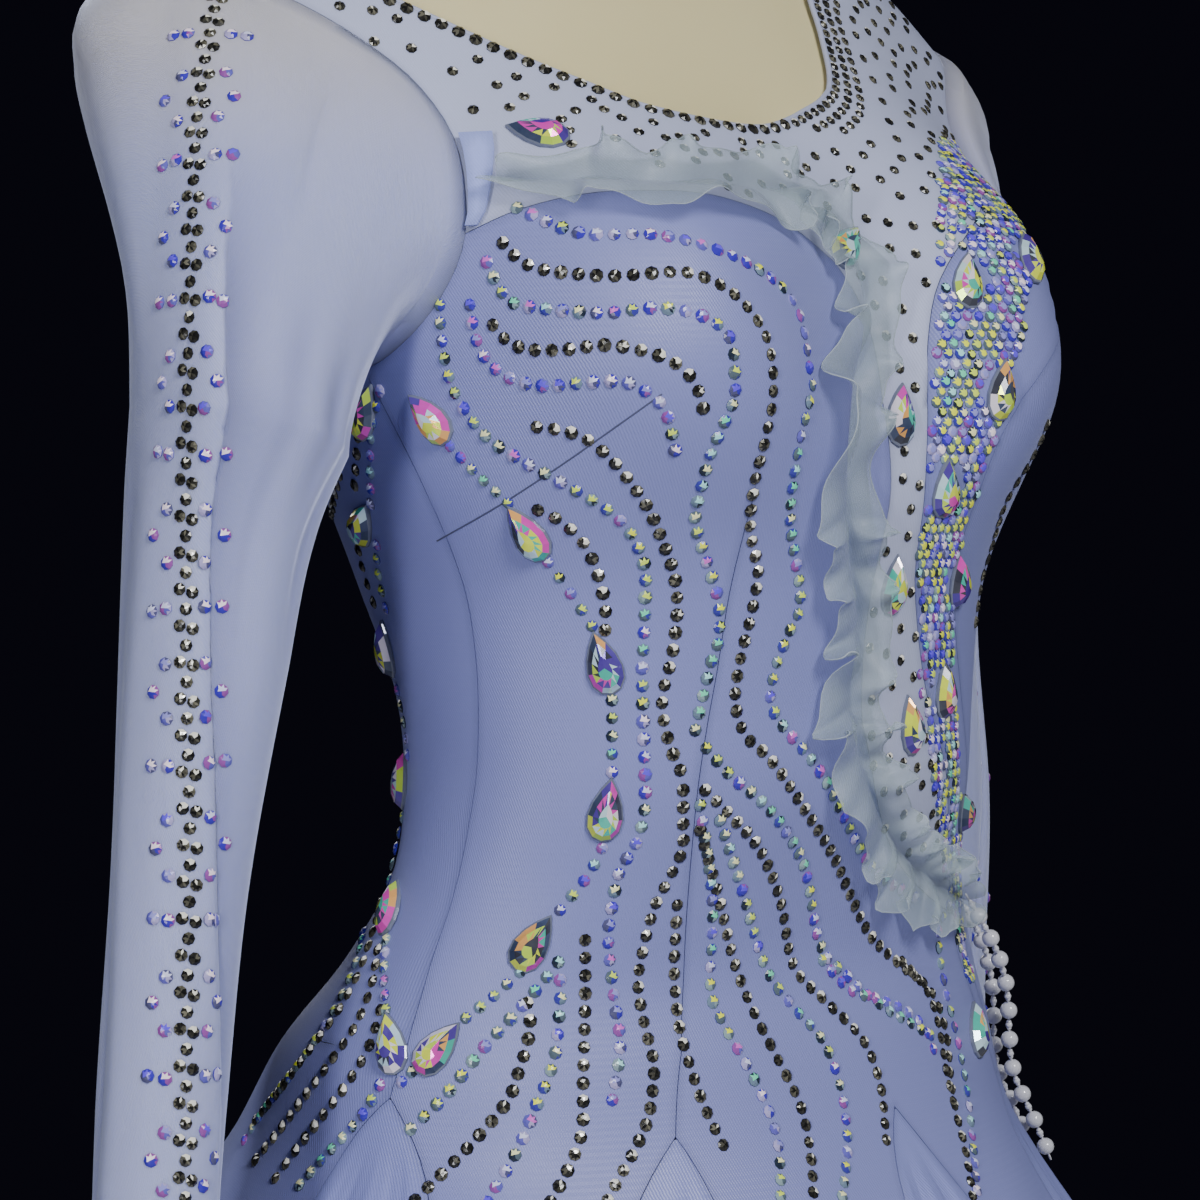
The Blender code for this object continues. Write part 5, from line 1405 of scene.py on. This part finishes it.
def sideLit(angle, ring):
    # facets on the upper side take the main colour, the lower ones the shade ramp: the coating's hues
    # darkened as painted shade
    height = sin(angle + 0.25)
    if ring == 2:
        return 0.50 + 0.16 * (cos(angle) > 0)
    return 0.12 if height > (0.05 if ring == 0 else 0.35) else 0.50 + 0.10 * (cos(angle) > 0)


def cornerLit(angle, ring):
    # the painted highlight lies on the corner up and to the right
    apart = abs((angle - 1.15 + pi) % (2 * pi) - pi)
    if ring == 2:
        return 0.60 if apart > 0.5 else 0.75
    return 1.0 - 0.22 * apart if apart < 0.80 else 0.25 + 0.12 * cos(3 * angle)


def flatLit(angle, ring):
    # nearly the whole stone takes its main colour
    return 0.12 if ring == 0 or (ring == 1 and sin(angle) > -0.3) else 0.66


rainbowCut, blackCut = cutStone("rainbowCut", 8, sideLit), cutStone("blackCut", 8, cornerLit)
stripCut = cutStone("stripCut", 8, flatLit)
rainbowFinish = rainbowMaterial()
blackFinish = blackMaterial()
dropFinish, pearlFinish = dropMaterial(), pearlMaterial()
# near-black colour for the line along the bust dart: painted shade of the dart's fold
dartShadeLook = dict(satinLook, colour=(0.030, 0.032, 0.060), second=(0.040, 0.042, 0.080),
                  yarn=(0.06, 0.06, 0.10))
dartShadeFinish = clothMaterial("paintedDartShade", dartShadeLook)

# lines of stones on the body, as points of the camera's picture that each line runs through
lineSize, lineStep, chainSize = 0.0050, 0.0064, 0.0046
rainbowLines = [
    # mood: 0 gold and green, 1 violet and rose
    (0.75, [(517, 208), (580, 233), (665, 236), (745, 262), (795, 305), (812, 385)]),
    (0.25, [(809, 402), (797, 455), (790, 520), (800, 600), (785, 640), (772, 680), (775, 715),
            (822, 775), (870, 865), (915, 897)]),
    (0.55, [(487, 262), (500, 289), (520, 305), (600, 313), (650, 308), (690, 312), (718, 325),
            (732, 345), (735, 390)]),
    (0.12, [(732, 405), (712, 450), (703, 480), (695, 520), (706, 560), (718, 600), (718, 640),
            (710, 665), (695, 730)]),
    (0.35, [(706, 748), (730, 775), (760, 800), (785, 830), (805, 870), (820, 945), (848, 977),
            (880, 1005), (905, 1020), (930, 1035)]),
    (0.8, [(470, 305), (475, 335), (487, 360), (510, 378), (545, 386), (590, 382), (630, 383), (662, 405),
            (671, 430), (675, 450)]),
    (0.2, [(440, 305), (442, 340), (450, 380), (465, 410), (490, 440), (530, 465), (575, 490), (620, 520),
            (643, 560), (645, 600), (643, 650)]),
    (0.6, [(642, 668), (643, 720), (645, 800), (637, 840), (620, 870), (612, 905), (608, 940),
            (614, 1000), (620, 1047), (612, 1100)]),
    (0.35, [(700, 805), (712, 900), (710, 987), (722, 1022), (749, 1070), (771, 1118), (779, 1156),
            (780, 1215), (776, 1260)]),
    (0.3, [(720, 820), (742, 890), (765, 967), (792, 1006), (823, 1042), (840, 1088), (847, 1141),
            (842, 1197), (836, 1240)]),
    (0.25, [(558, 962), (540, 985), (515, 1014), (481, 1051), (447, 1094), (411, 1129)]),
    (0.45, [(560, 980), (560, 1000), (554, 1059), (536, 1106), (516, 1153), (489, 1199), (470, 1235)]),
    (0.7, [(822, 960), (850, 990), (884, 1001), (912, 1015), (927, 1033), (933, 1049)]),
    (0.6, [(948, 905), (938, 935), (944, 985), (957, 1040), (967, 1095), (972, 1140), (976, 1185),
            (980, 1230)]),
]
blackLines = [
    [(503, 243), (520, 260), (545, 270), (610, 276), (680, 272), (712, 281), (735, 295), (757, 320),
     (770, 350), (773, 395), (765, 440), (755, 480), (750, 520), (753, 548), (758, 570), (752, 610),
     (740, 660), (735, 700), (745, 735), (775, 765), (830, 850), (850, 895), (870, 935), (900, 965),
     (930, 990), (945, 1030), (950, 1075), (955, 1110), (965, 1150), (973, 1200), (978, 1240)],
    [(493, 325), (510, 343), (535, 350), (570, 349), (605, 345), (640, 350), (670, 360), (690, 376),
     (700, 395), (703, 408)],
    [(537, 427), (560, 430), (583, 437), (605, 453), (625, 475), (648, 508), (662, 540), (674, 575),
     (677, 610), (672, 655), (662, 700), (668, 740), (680, 770)],
    [(538, 510), (562, 522), (585, 545), (598, 575), (605, 605), (605, 630)],
    [(683, 790), (683, 820), (682, 850), (668, 880), (655, 905), (645, 940), (638, 977), (640, 1003),
     (645, 1028), (653, 1060), (653, 1083), (648, 1118), (635, 1149), (618, 1180), (600, 1215)],
    [(677, 905), (675, 940), (674, 975), (679, 1027), (694, 1079), (707, 1113), (723, 1145)],
    [(705, 790), (735, 820), (760, 850), (780, 900), (793, 965), (823, 999), (862, 1039), (880, 1085),
     (886, 1140)],
    [(700, 830), (718, 895), (734, 962), (753, 1011), (778, 1060), (801, 1108), (811, 1160), (813, 1205),
     (812, 1240)],
    [(585, 940), (585, 1000), (583, 1080), (582, 1130), (570, 1165), (552, 1199), (530, 1230)],
    [(527, 1003), (530, 1017), (528, 1040), (520, 1067), (508, 1100), (476, 1139), (440, 1176),
     (415, 1200)],
    [(902, 962), (922, 984), (933, 1006), (940, 1034), (946, 1071), (953, 1102)],
    [(1046, 425), (1038, 445), (1026, 467), (1013, 488), (1003, 508), (996, 530), (989, 553), (982, 576),
     (978, 600), (975, 622)],
]
# lines at the edge of the back, seen past the side
sideRainbow = [
    (0.5, [(380, 391), (371, 434), (371, 504)]),
    (0.4, [(377, 545), (378, 569), (386, 608)]),
    (0.5, [(398, 690), (404, 720), (408, 755)]),
    (0.5, [(403, 817), (396, 850), (390, 880)]),
    (0.45, [(386, 940), (384, 975), (386, 1010)]),
    (0.35, [(368, 905), (360, 950), (345, 990), (322, 1030), (296, 1068), (268, 1105), (245, 1140)]),
    (0.45, [(380, 1085), (366, 1110), (345, 1135), (322, 1160), (300, 1185)]),
]
sideBlack = [
    [(341, 447), (340, 472), (334, 502), (331, 533), (340, 558), (355, 596), (375, 627), (396, 634),
     (404, 670), (409, 710)],
    [(358, 437), (355, 485)],
    [(359, 550), (365, 575), (374, 602)],
    [(396, 840), (384, 885), (374, 930), (358, 975), (336, 1015), (310, 1050), (284, 1085), (256, 1120)],
    [(378, 950), (372, 985), (356, 1025), (332, 1060), (306, 1095), (280, 1130), (256, 1160)],
    [(380, 1010), (370, 1045), (350, 1080), (326, 1112), (300, 1145), (276, 1178)],
]

blackMood, blackWander = 0.16, 0.7
bodyRainbow, bodyBlack = StoneSet(), StoneSet()
for mood, knots in rainbowLines + sideRainbow:
    bodyRainbow.row(*laidLine(bodySkin, knots, lineStep), lineSize, mood)
for knots in blackLines + sideBlack:
    bodyBlack.row(*laidLine(bodySkin, knots, lineStep), lineSize, blackMood, blackWander)

# drops: the solids that a chain stands for, then each drop's centre and tip in the picture
dropLook = dict(length=0.0225, width=0.0130, sides=14, sunk=0.0002, bezel=0.96, bright=0.93,
                belly=0.62, taper=0.9, forward=0.10, pointBack=0.06,
                rings=((1.06, 0.0000), (1.06, 0.0011), (0.98, 0.0016), (0.74, 0.0039), (0.40, 0.0052)))
dropChains = {
    "dropsSideRight": (["drops_side_right"], [
        ((430, 418), (407, 391)), ((527, 533), (510, 508)), ((603, 663), (594, 634)),
        ((606, 810), (611, 780)), ((533, 943), (550, 917)), ((438, 1048), (459, 1024))]),
    "dropsBackRight": (["drops_back_right"], [
        ((365, 412), (372, 385)), ((363, 523), (371, 497)), ((388, 649), (383, 620)),
        ((405, 780), (406, 752)), ((392, 908), (398, 882)), ((391, 1044), (388, 1015))]),
    "dropsStrip": (["drops_strip"], [
        ((967, 281), (966, 254)), ((1001, 390), (1003, 363)), ((900, 415), (901, 386)),
        ((957, 580), (959, 553)), ((893, 585), (897, 558)), ((945, 488), (946, 462)),
        ((943, 690), (943, 662)), ((910, 725), (907, 697)), ((962, 810), (959, 783)),
        ((975, 1030), (972, 1002)), ((1028, 258), (1020, 236)), ((846, 246), (858, 226))]),
    "dropChest": ([], [
        ((538, 133), (512, 128))]),
}
dropPlaces = []


def pearShape(share):
    around = np.arange(dropLook["sides"]) * 2 * pi / dropLook["sides"]
    width, length = dropLook["width"] * share, dropLook["length"]
    return np.stack([dropLook["belly"] * width * np.sin(around) * np.sin(around / 2)**dropLook["taper"],
                     length * 0.5 * share * np.cos(around) - (1 - share) * dropLook["forward"] * length], -1)


def dropMesh(name, seats):
    look, points, faces, marks = dropLook, [], [], []
    sides = look["sides"]
    for place, normal, up in seats:
        out = Vector(normal)
        side = Vector(up).cross(out).normalized()
        long = out.cross(side)
        first, rings = len(points), look["rings"]
        for share, height in rings:
            for x, y in pearShape(share):
                points.append(tuple(place + side * x + long * y + out * (height - look["sunk"])))
        crest = rings[-1][1] + look["sunk"]
        points.append(tuple(place + out * crest - long * look["length"] * look["pointBack"]))
        points.append(tuple(place - out * look["sunk"]))
        crown, foot = len(points) - 2, len(points) - 1
        hues = chance.random(40)
        for ring in range(len(rings) - 1):
            for k in range(sides):
                n = (k + 1) % sides
                a, b = first + ring * sides + k, first + ring * sides + n
                faces += [(a, a + sides, b), (b, a + sides, b + sides)]
                hue = look["bezel"] if ring < 2 else look["bright"] * hues[(ring * 9 + (k + ring) // 2) % 40]
                marks += [hue, hue if ring < 3 else look["bright"] * hues[(k // 3 + 21) % 40]]
        for k in range(sides):
            n = (k + 1) % sides
            faces.append((first + (len(rings) - 1) * sides + k, crown, first + (len(rings) - 1) * sides + n))
            marks.append(look["bright"] * hues[(k // 5 + 30) % 40])
            faces.append((first + n, foot, first + k))
            marks.append(look["bezel"])
    return newMesh(name, points, faces, marks)


for name, (nodes, drops) in dropChains.items():
    seats = []
    for (x, y), (tipX, tipY) in drops:
        place, normal = rayTo(bodySkin, x, y)
        ahead = rayTo(bodySkin, tipX, tipY)[0]
        if place is None:
            print("no cloth under a drop at", x, y)
            continue
        up = (ahead - place) if ahead is not None else Vector((0.0, 0.0, 1.0))
        seats.append((place, normal, up))
        dropPlaces.append(np.array(place))
    made = link(name, dropMesh(name, seats), dropFinish, smooth=False)
    fit(made, "crystal", *nodes)

# small stones between the drops of the long chain at the side
chainLines = [
    (0.4, [(450, 446), (478, 475), (508, 503)]),
    (0.3, [(548, 562), (572, 595), (592, 626)]),
    (0.3, [(612, 700), (612, 738), (612, 772)]),
    (0.35, [(602, 848), (588, 875), (560, 910)]),
    (0.2, [(520, 972), (494, 996), (466, 1018)]),
    (0.4, [(412, 1072), (402, 1082)]),
]
for mood, knots in chainLines:
    bodyRainbow.row(*laidLine(bodySkin, knots, lineStep), chainSize, mood)


def clearOfDrops(place, reach=0.0095):
    return all(np.linalg.norm(place - drop) > reach for drop in dropPlaces)


def inside(outline, angle, height):
    x, y = outline[:, 0], outline[:, 1]
    nextX, nextY = np.roll(x, -1), np.roll(y, -1)
    crosses = (y > height) != (nextY > height)
    with np.errstate(divide="ignore", invalid="ignore"):
        at = x + (height - y) * (nextX - x) / (nextY - y)
    return bool(np.sum(crosses & (angle < at)) % 2)


def onCloth(angle, height, out=cloth["lift"] + cloth["wall"]):
    normal = surfaceNormal(dressTable, angle, height)
    return surface(dressTable, angle, height) + normal * out, normal


def edgeGap(outline, angle, height):
    # metres from a place to the nearest corner of a finely drawn outline
    radius = radiusAt(dressTable, radians(angle), height)[0]
    apart = np.hypot(np.radians(outline[:, 0] - angle) * radius, outline[:, 1] - height)
    return apart.min()


# the strip is filled with close rows of small rainbow stones
stripOutline = join(curved(stripInner), curved(stripInnerTop), armLine(1, armStrip, armYoke),
                    curved(stripOuterTop)[::-1], curved(stripOuter)[::-1], curved(hipToWedge))
wedgeOutline = join(curved(wedgeSide)[::-1], curved(wedgeTop), curved(stripInner)[::-1],
                    curved(wedgeFoot)[::-1])
yokeOutline = join(armLine(-1, 0, armYoke), curved(yokeSeam), curved(chestSeam), curved(chestFall),
                   curved(wedgeTop), curved(stripInnerTop), armLine(1, armStrip, 0),
                   curved(neckFront)[::-1])
stripFill = dict(size=0.0044, row=0.0036, step=0.0041, margin=0.0019, top=1.300, bottom=0.960, before=14,
                 past=2, near=0.02, uneven=0.0008, sizes=(0.92, 0.16), slopeAt=28.0)
stripTones = dict(rise=95, sway=1.3, across=210, shift=0.6, gold=(0.14, 0.42), green=(0.36, 0.34),
                  goldTones=(0.0, 0.26), greenTones=(0.26, 0.24),
                  others=((0.50, 0.61), (0.50, 0.61), (0.63, 0.73), (0.75, 0.83), (0.93, 0.99)))
# where the close rows show, in the picture
stripStoned = np.array([
    (940, 138), (972, 150), (1000, 180), (1022, 225), (1030, 270), (1024, 330), (1012, 385), (1000, 440),
    (984, 490), (970, 530), (960, 600), (952, 660), (956, 720), (960, 800), (972, 880), (988, 960),
    (1000, 1040), (975, 1040), (955, 930), (942, 860), (938, 820), (933, 775), (927, 740), (921, 700),
    (917, 647), (916, 575), (920, 515), (927, 450), (931, 400), (935, 360), (938, 300),
], float)
stripStones = StoneSet()


def stripTone(place):
    # gold and green stones gather in patches, with lilac and violet ones between them
    look = stripTones
    sway = look["sway"] * sin(place[0] * look["across"])
    gathered = 0.5 + 0.5 * sin(place[2] * look["rise"] + sway + look["shift"])
    dice = chance.random()
    if dice < look["gold"][0] + look["gold"][1] * gathered:
        return chanced(*look["goldTones"])
    if dice < look["green"][0] + look["green"][1] * gathered:
        return chanced(*look["greenTones"])
    low, high = look["others"][int(len(look["others"]) * chance.random())]
    return chanced(low, high - low)


height, odd = stripFill["top"], 0
while height > stripFill["bottom"]:
    level = stripOutline[np.abs(stripOutline[:, 1] - height) < stripFill["near"]]
    angle = level[:, 0].min() - stripFill["before"]
    while angle < level[:, 0].max() + stripFill["past"]:
        step = np.degrees(stripFill["step"] / radiusAt(dressTable, radians(angle), height)[0])
        at = (angle + odd * step / 2, height + (chance.random() - 0.5) * stripFill["uneven"])
        within = any([inside(line, *at) for line in (stripOutline, yokeOutline, wedgeOutline)])
        if within and edgeGap(stripOutline, *at) > stripFill["margin"]:
            place, normal = onCloth(*at)
            if clearOfDrops(place) and inside(stripStoned, *pictureOf(place)):
                tone = stripTone(place)
                stripStones.put(place, normal, stripFill["size"] * chanced(*stripFill["sizes"]), tone,
                                chance.random() - 0.5)
        angle += step
    ends = surface(dressTable, stripFill["slopeAt"], np.array([height, height - 0.001]))
    height -= stripFill["row"] / (np.linalg.norm(np.diff(ends, axis=0)) / 0.001)
    odd = 1 - odd

# black stones: five rows round the neckline, then scattered over the mesh
yokeStones = StoneSet()
neckRing = np.vstack([curved(neckFront), curved(neckBack)[1:]])


def neckRow(below, step, first, last):
    ring = neckRing[(neckRing[:, 0] >= first) & (neckRing[:, 0] <= last)]
    inward = np.gradient(ring, axis=0)
    radius = radiusAt(dressTable, np.radians(ring[:, 0]), ring[:, 1])[0]
    run = np.radians(inward[:, 0]) * radius
    size = np.hypot(run, inward[:, 1])
    angle = ring[:, 0] + np.degrees(inward[:, 1] / size * below / radius)
    height = ring[:, 1] - run / size * below
    places, normals = onCloth(angle, height)
    return spaced(places, normals, step)


# distance below the edge, step, size, first and last angle, share of stones with a painted glint
neckRows = [(0.0014, 0.0068, 0.0052, -92, -1, 0.35), (0.0022, 0.0050, 0.0042, 2, 44, 0.85),
            (0.0070, 0.0054, 0.0042, 6, 42, 0.85), (0.0118, 0.0060, 0.0042, 11, 38, 0.85),
            (0.0026, 0.0062, 0.0046, 45, 266, 0.6)]
yokeTurn = 1.4      # how far the stones are turned at most, from side to side
for below, step, size, first, last, bright in neckRows:
    places, normals = neckRow(below, step, first, last)
    for place, normal in zip(places, normals):
        tone = chanced(0.0, 0.3) if chance.random() < bright else chanced(0.8, 0.15)
        yokeStones.put(place, normal, size, tone, (chance.random() - 0.5) * yokeTurn)

# right and left of the middle: least gap to the neckline and distance between stones
yokeScatter = dict(tries=9000, angles=(-70, 140), heights=(1.02, 0.35), middle=-3, right=(0.0058, 0.0062),
                   left=(0.0130, 0.0090), wedge=0.0088, fromEdge=0.003, reach=0.030, thinning=30,
                   outer=-53, skipped=0.6, size=0.0043, fromDrops=0.011, bright=0.2, dull=0.6)


def yokeSpacing(angle, height):
    # how far apart the stones lie here; 0 where there are none
    look = yokeScatter
    if inside(yokeOutline, angle, height):
        gap, right = edgeGap(curved(neckFront), angle, height), angle < look["middle"]
        least, apart = look["right"] if right else look["left"]
        if gap < least or edgeGap(yokeOutline, angle, height) < look["fromEdge"]:
            return 0.0
        bare = right and (gap > look["reach"] or chance.random() < gap * look["thinning"]
                          or (angle < look["outer"] and chance.random() < look["skipped"]))
        return 0.0 if bare else apart
    if inside(wedgeOutline, angle, height) and edgeGap(wedgeOutline, angle, height) >= look["fromEdge"]:
        return look["wedge"]
    return 0.0


kept = [np.array(place) for place in yokeStones.places]
for u, v in chance.random((yokeScatter["tries"], 2)):
    angle = yokeScatter["angles"][0] + yokeScatter["angles"][1] * u
    height = yokeScatter["heights"][0] + yokeScatter["heights"][1] * v
    apart = yokeSpacing(angle, height)
    if not apart:
        continue
    place, normal = onCloth(angle, height)
    if inside(stripStoned, *pictureOf(place)) or not clearOfDrops(place, yokeScatter["fromDrops"]):
        continue
    if all(np.linalg.norm(place - other) > apart for other in kept):
        kept.append(place)
        tone = chanced(0.0, 0.3) if chance.random() > yokeScatter["bright"] else yokeScatter["dull"]
        yokeStones.put(place, normal, yokeScatter["size"], tone, (chance.random() - 0.5) * yokeTurn)

# the braid down the outside of each sleeve; the left one mirrors the right
braidLook = dict(step=0.00624, pair=0.0023, pairDrop=0.0006, pairTurn=0.25, turn=0.35, blackSize=0.0046,
                 size=0.0050, row=0.0518, firstRow=10, uneven=0.0012)
# how far along each repeat the bright stones lie, and how far beside the braid
braidRows = ((0.0, (-0.0140, -0.0076, 0.0076, 0.0136)), (0.36, (-0.0078, 0.0078)),
             (0.54, (-0.0132, 0.0132)), (0.72, (-0.0076, 0.0076)))
braidKnots = [(216, -20), (215, 5), (205, 60), (197, 120), (193, 200), (190, 300), (187, 400), (186, 550),
              (187, 700), (190, 850), (187, 1000), (185, 1200), (184, 1300)]
braidPlaces, braidNormals = laidLine(sleeveSkin, braidKnots, braidLook["step"] / 2)
sleeveBlack, sleeveRainbow = StoneSet(), StoneSet()


def besideBraid(k, offset, drop=0.0):
    # a place on the sleeve beside the braid: offset to the front and drop down, in metres
    k = min(k, len(braidPlaces) - 2)
    normal = braidNormals[k]
    along = unit(braidPlaces[k + 1] - braidPlaces[k])
    across = unit(np.cross(normal, along))
    if across @ eyeRight < 0:
        across = -across
    aim = braidPlaces[k] + across * offset + along * drop
    place, out = sleeveSkin.find_nearest(Vector(aim))[:2]
    return np.array(place), (np.array(out) if out.dot(Vector(normal)) > 0 else -np.array(out))


def braidTone(place):
    # more of the stones carry painted glints at the shoulder and below the elbow
    shiny = np.interp(pictureOf(place)[1], (150, 190, 520, 580), (0.92, 0.30, 0.30, 0.80))
    return chanced(0.0, 0.30) if chance.random() < shiny else chanced(0.75, 0.2)


for k in range(0, len(braidPlaces), 2):
    for side in ((0,) if (k // 2) % 2 else (-1, 1)):
        place, normal = besideBraid(k, side * braidLook["pair"], side * braidLook["pairDrop"])
        sleeveBlack.put(place, normal, braidLook["blackSize"], braidTone(place),
                        side * braidLook["pairTurn"] + braidLook["turn"])
rowEvery = int(round(braidLook["row"] / braidLook["step"] * 2))
for start in range(braidLook["firstRow"], len(braidPlaces), rowEvery):
    for share, offsets in braidRows:
        k = start + int(share * rowEvery)
        for offset in offsets if k < len(braidPlaces) - 1 else ():
            place, normal = besideBraid(k, offset * chanced(0.94, 0.12),
                                        (chance.random() - 0.5) * braidLook["uneven"])
            tone = chanced(0.93, 0.06) if chance.random() < 0.5 else chanced(0.6, 0.3)
            sleeveRainbow.put(place, normal, braidLook["size"], tone, chance.random() - 0.5)

leftShift = dict(inward=0.004, backward=0.016)


def mirrored(stones):
    # same height and same place round the sleeve, on the other arm
    copy = StoneSet()
    right, left = np.array(sleeveCut["right"])[::-1], np.array(sleeveCut["left"])[::-1]
    for place, tone, size in zip(stones.places, stones.tones, stones.sizes):
        across = np.interp(place[2], right[:, 0], right[:, 2])
        other = np.interp(place[2], left[:, 0], left[:, 2])
        aim = Vector((-place[0] + leftShift["inward"], place[1] - across + other + leftShift["backward"],
                      place[2]))
        where, out = sleeveSkin.find_nearest(aim)[:2]
        copy.put(where, -out if out.x < 0 else out, size, tone, chance.random() - 0.5)
    return copy


leftBlack, leftRainbow = mirrored(sleeveBlack), mirrored(sleeveRainbow)
for name, stones, cut, finish in (
        ("bodyRainbowStones", bodyRainbow, rainbowCut, rainbowFinish),
        ("bodyBlackStones", bodyBlack, blackCut, blackFinish),
        ("stripStones", stripStones, stripCut, rainbowFinish),
        ("yokeStones", yokeStones, blackCut, blackFinish),
        ("sleeveRightJets", sleeveBlack, blackCut, blackFinish),
        ("sleeveRightStones", sleeveRainbow, rainbowCut, rainbowFinish),
        ("sleeveLeftJets", leftBlack, blackCut, blackFinish),
        ("sleeveLeftStones", leftRainbow, rainbowCut, rainbowFinish)):
    setStones(name, stones, cut, finish, "crystal")

# strings of pearls over the left hip
pearlLook = dict(radius=0.0036, seed=0.0013, thread=0.0005, start=0.006, hangsFree=0.42, seat=0.0013,
                 seeds=((-0.5, 1.1), (-0.40, 0.8), (-0.60, 0.8)))
pearlStrings = {
    "pearlsOuter": dict(node="pearls_outer", top=(75.0, 0.994), foot=(78.5, 0.870), stand=0.0170, beads=10),
    "pearlsInner": dict(node="pearls_inner", top=(79.5, 0.990), foot=(81.5, 0.878), stand=0.0165, beads=9),
}
pearlCut = ballStone("pearlCut", 14, 9)
for name, string in pearlStrings.items():
    steps = np.linspace(0, 1, 61)
    line = np.array(string["top"]) + (np.array(string["foot"]) - string["top"]) * steps[:, None]
    places, out = surfaceFrame(line)[::3]
    seat = cloth["laidOn"] + pearlLook["seat"]
    hung = np.minimum(1.0, steps / pearlLook["hangsFree"])
    route = places + out * (seat + (string["stand"] - seat) * np.sin(pi / 2 * hung))[:, None]
    run = runAlong(route)
    pitch = (run[-1] - pearlLook["start"]) / string["beads"]
    beads = StoneSet()
    for bead in range(string["beads"]):
        centre = pearlLook["start"] + pitch * (bead + 0.5)
        sizes = [(0.0, pearlLook["radius"])]
        sizes += [(offset, pearlLook["seed"] * share) for offset, share in pearlLook["seeds"]]
        for offset, radius in sizes:
            at = centre + offset * pitch
            beads.put([np.interp(at, run, route[:, k]) for k in range(3)], (0, -1, 0), radius, 0.5)
    strung = setStones(name, beads, pearlCut, pearlFinish, "pearl", (string["node"],), 1.0, True)
    thread = link(name + "Thread", tubeMesh(name + "Thread", [route], pearlLook["thread"]), pearlFinish)
    fit(thread, "pearl", string["node"])

# the bust dart's stitched line, drawn near-black as painted shade of its fold, and the rolled edge round the
# neck
dart = dict(line=[(437, 541), (500, 505), (560, 466), (610, 431), (662, 394)], step=0.002, radius=0.00035)
binding = dict(radius=0.0011, sides=8)
dartPlaces = np.array(laidLine(bodySkin, dart["line"], dart["step"])[0])
dartSeam = link("dartSeam", tubeMesh("dartSeam", [dartPlaces], dart["radius"]), dartShadeFinish)
fit(dartSeam, "satin")
neckPlaces = onCloth(neckRing[:-1, 0], neckRing[:-1, 1], cloth["lift"] + cloth["wall"] * 0.5)[0]
neckRoll = tubeMesh("neckBinding", [neckPlaces], binding["radius"], binding["sides"], True)
neckBinding = link("neckBinding", neckRoll, finishes["mesh"])
fit(neckBinding, "mesh")

# studio
studio = dict(floorRadius=2.4, floor=(0.62, 0.62, 0.64), world=(0.0030, 0.0028, 0.0060))


lights = {
    # stands at, points to, size, power, colour
    "keyLight": ((-0.62, -2.42, 2.65), (0.0, 0.0, 1.15), (0.9, 0.9), 76.0, (0.97, 0.98, 1.0)),
    "sleeveFill": ((-2.15, -0.96, 1.45), (-0.2, 0.0, 1.12), (0.25, 1.3), 25.0, (0.95, 0.96, 1.0)),
    "rightFill": ((2.0, -1.0, 1.6), (0.0, 0.0, 1.1), (1.0, 1.6), 2.0, (1.0, 1.0, 1.0)),
    "backRim": ((0.9, 2.1, 2.0), (0.0, 0.0, 1.1), (1.2, 1.2), 12.0, (1.0, 1.0, 1.0)),
}
for name, (at, towards, size, power, colour) in lights.items():
    data = bpy.data.lights.new(name, "AREA")
    data.shape, data.size, data.size_y = "RECTANGLE", size[0], size[1]
    data.energy, data.color = power, colour
    made = bpy.data.objects.new(name, data)
    bpy.context.scene.collection.objects.link(made)
    made.location = at
    made.rotation_euler = (Vector(towards) - Vector(at)).to_track_quat("-Z", "Y").to_euler()
world = bpy.data.worlds.new("studioAir")
bpy.context.scene.world = world
world.use_nodes = True
world.node_tree.nodes["Background"].inputs[0].default_value = (*studio["world"], 1.0)
world.node_tree.nodes["Background"].inputs[1].default_value = 1.0


def makeFloor():
    # a round pale floor just under the stand
    turn = np.arange(96) * 2 * pi / 96
    base = cadBox[0][2] - 0.0005
    work = bmesh.new()
    radius = studio["floorRadius"]
    rim = [work.verts.new((radius * cos(a), radius * sin(a), base)) for a in turn]
    work.faces.new(rim)
    mesh = bpy.data.meshes.new("studioFloor")
    work.to_mesh(mesh)
    work.free()
    finish, tree, shader = newMaterial("floorPaint")
    mottle = mottledPlace(tree)[1]
    second = tuple(value * 0.94 for value in studio["floor"])
    feed(tree, shader, {"Base Color": mixColours(tree, mottle[0], studio["floor"], second),
                        "Roughness": 0.8})
    return link("studioFloor", mesh, finish, smooth=False)


makeFloor()
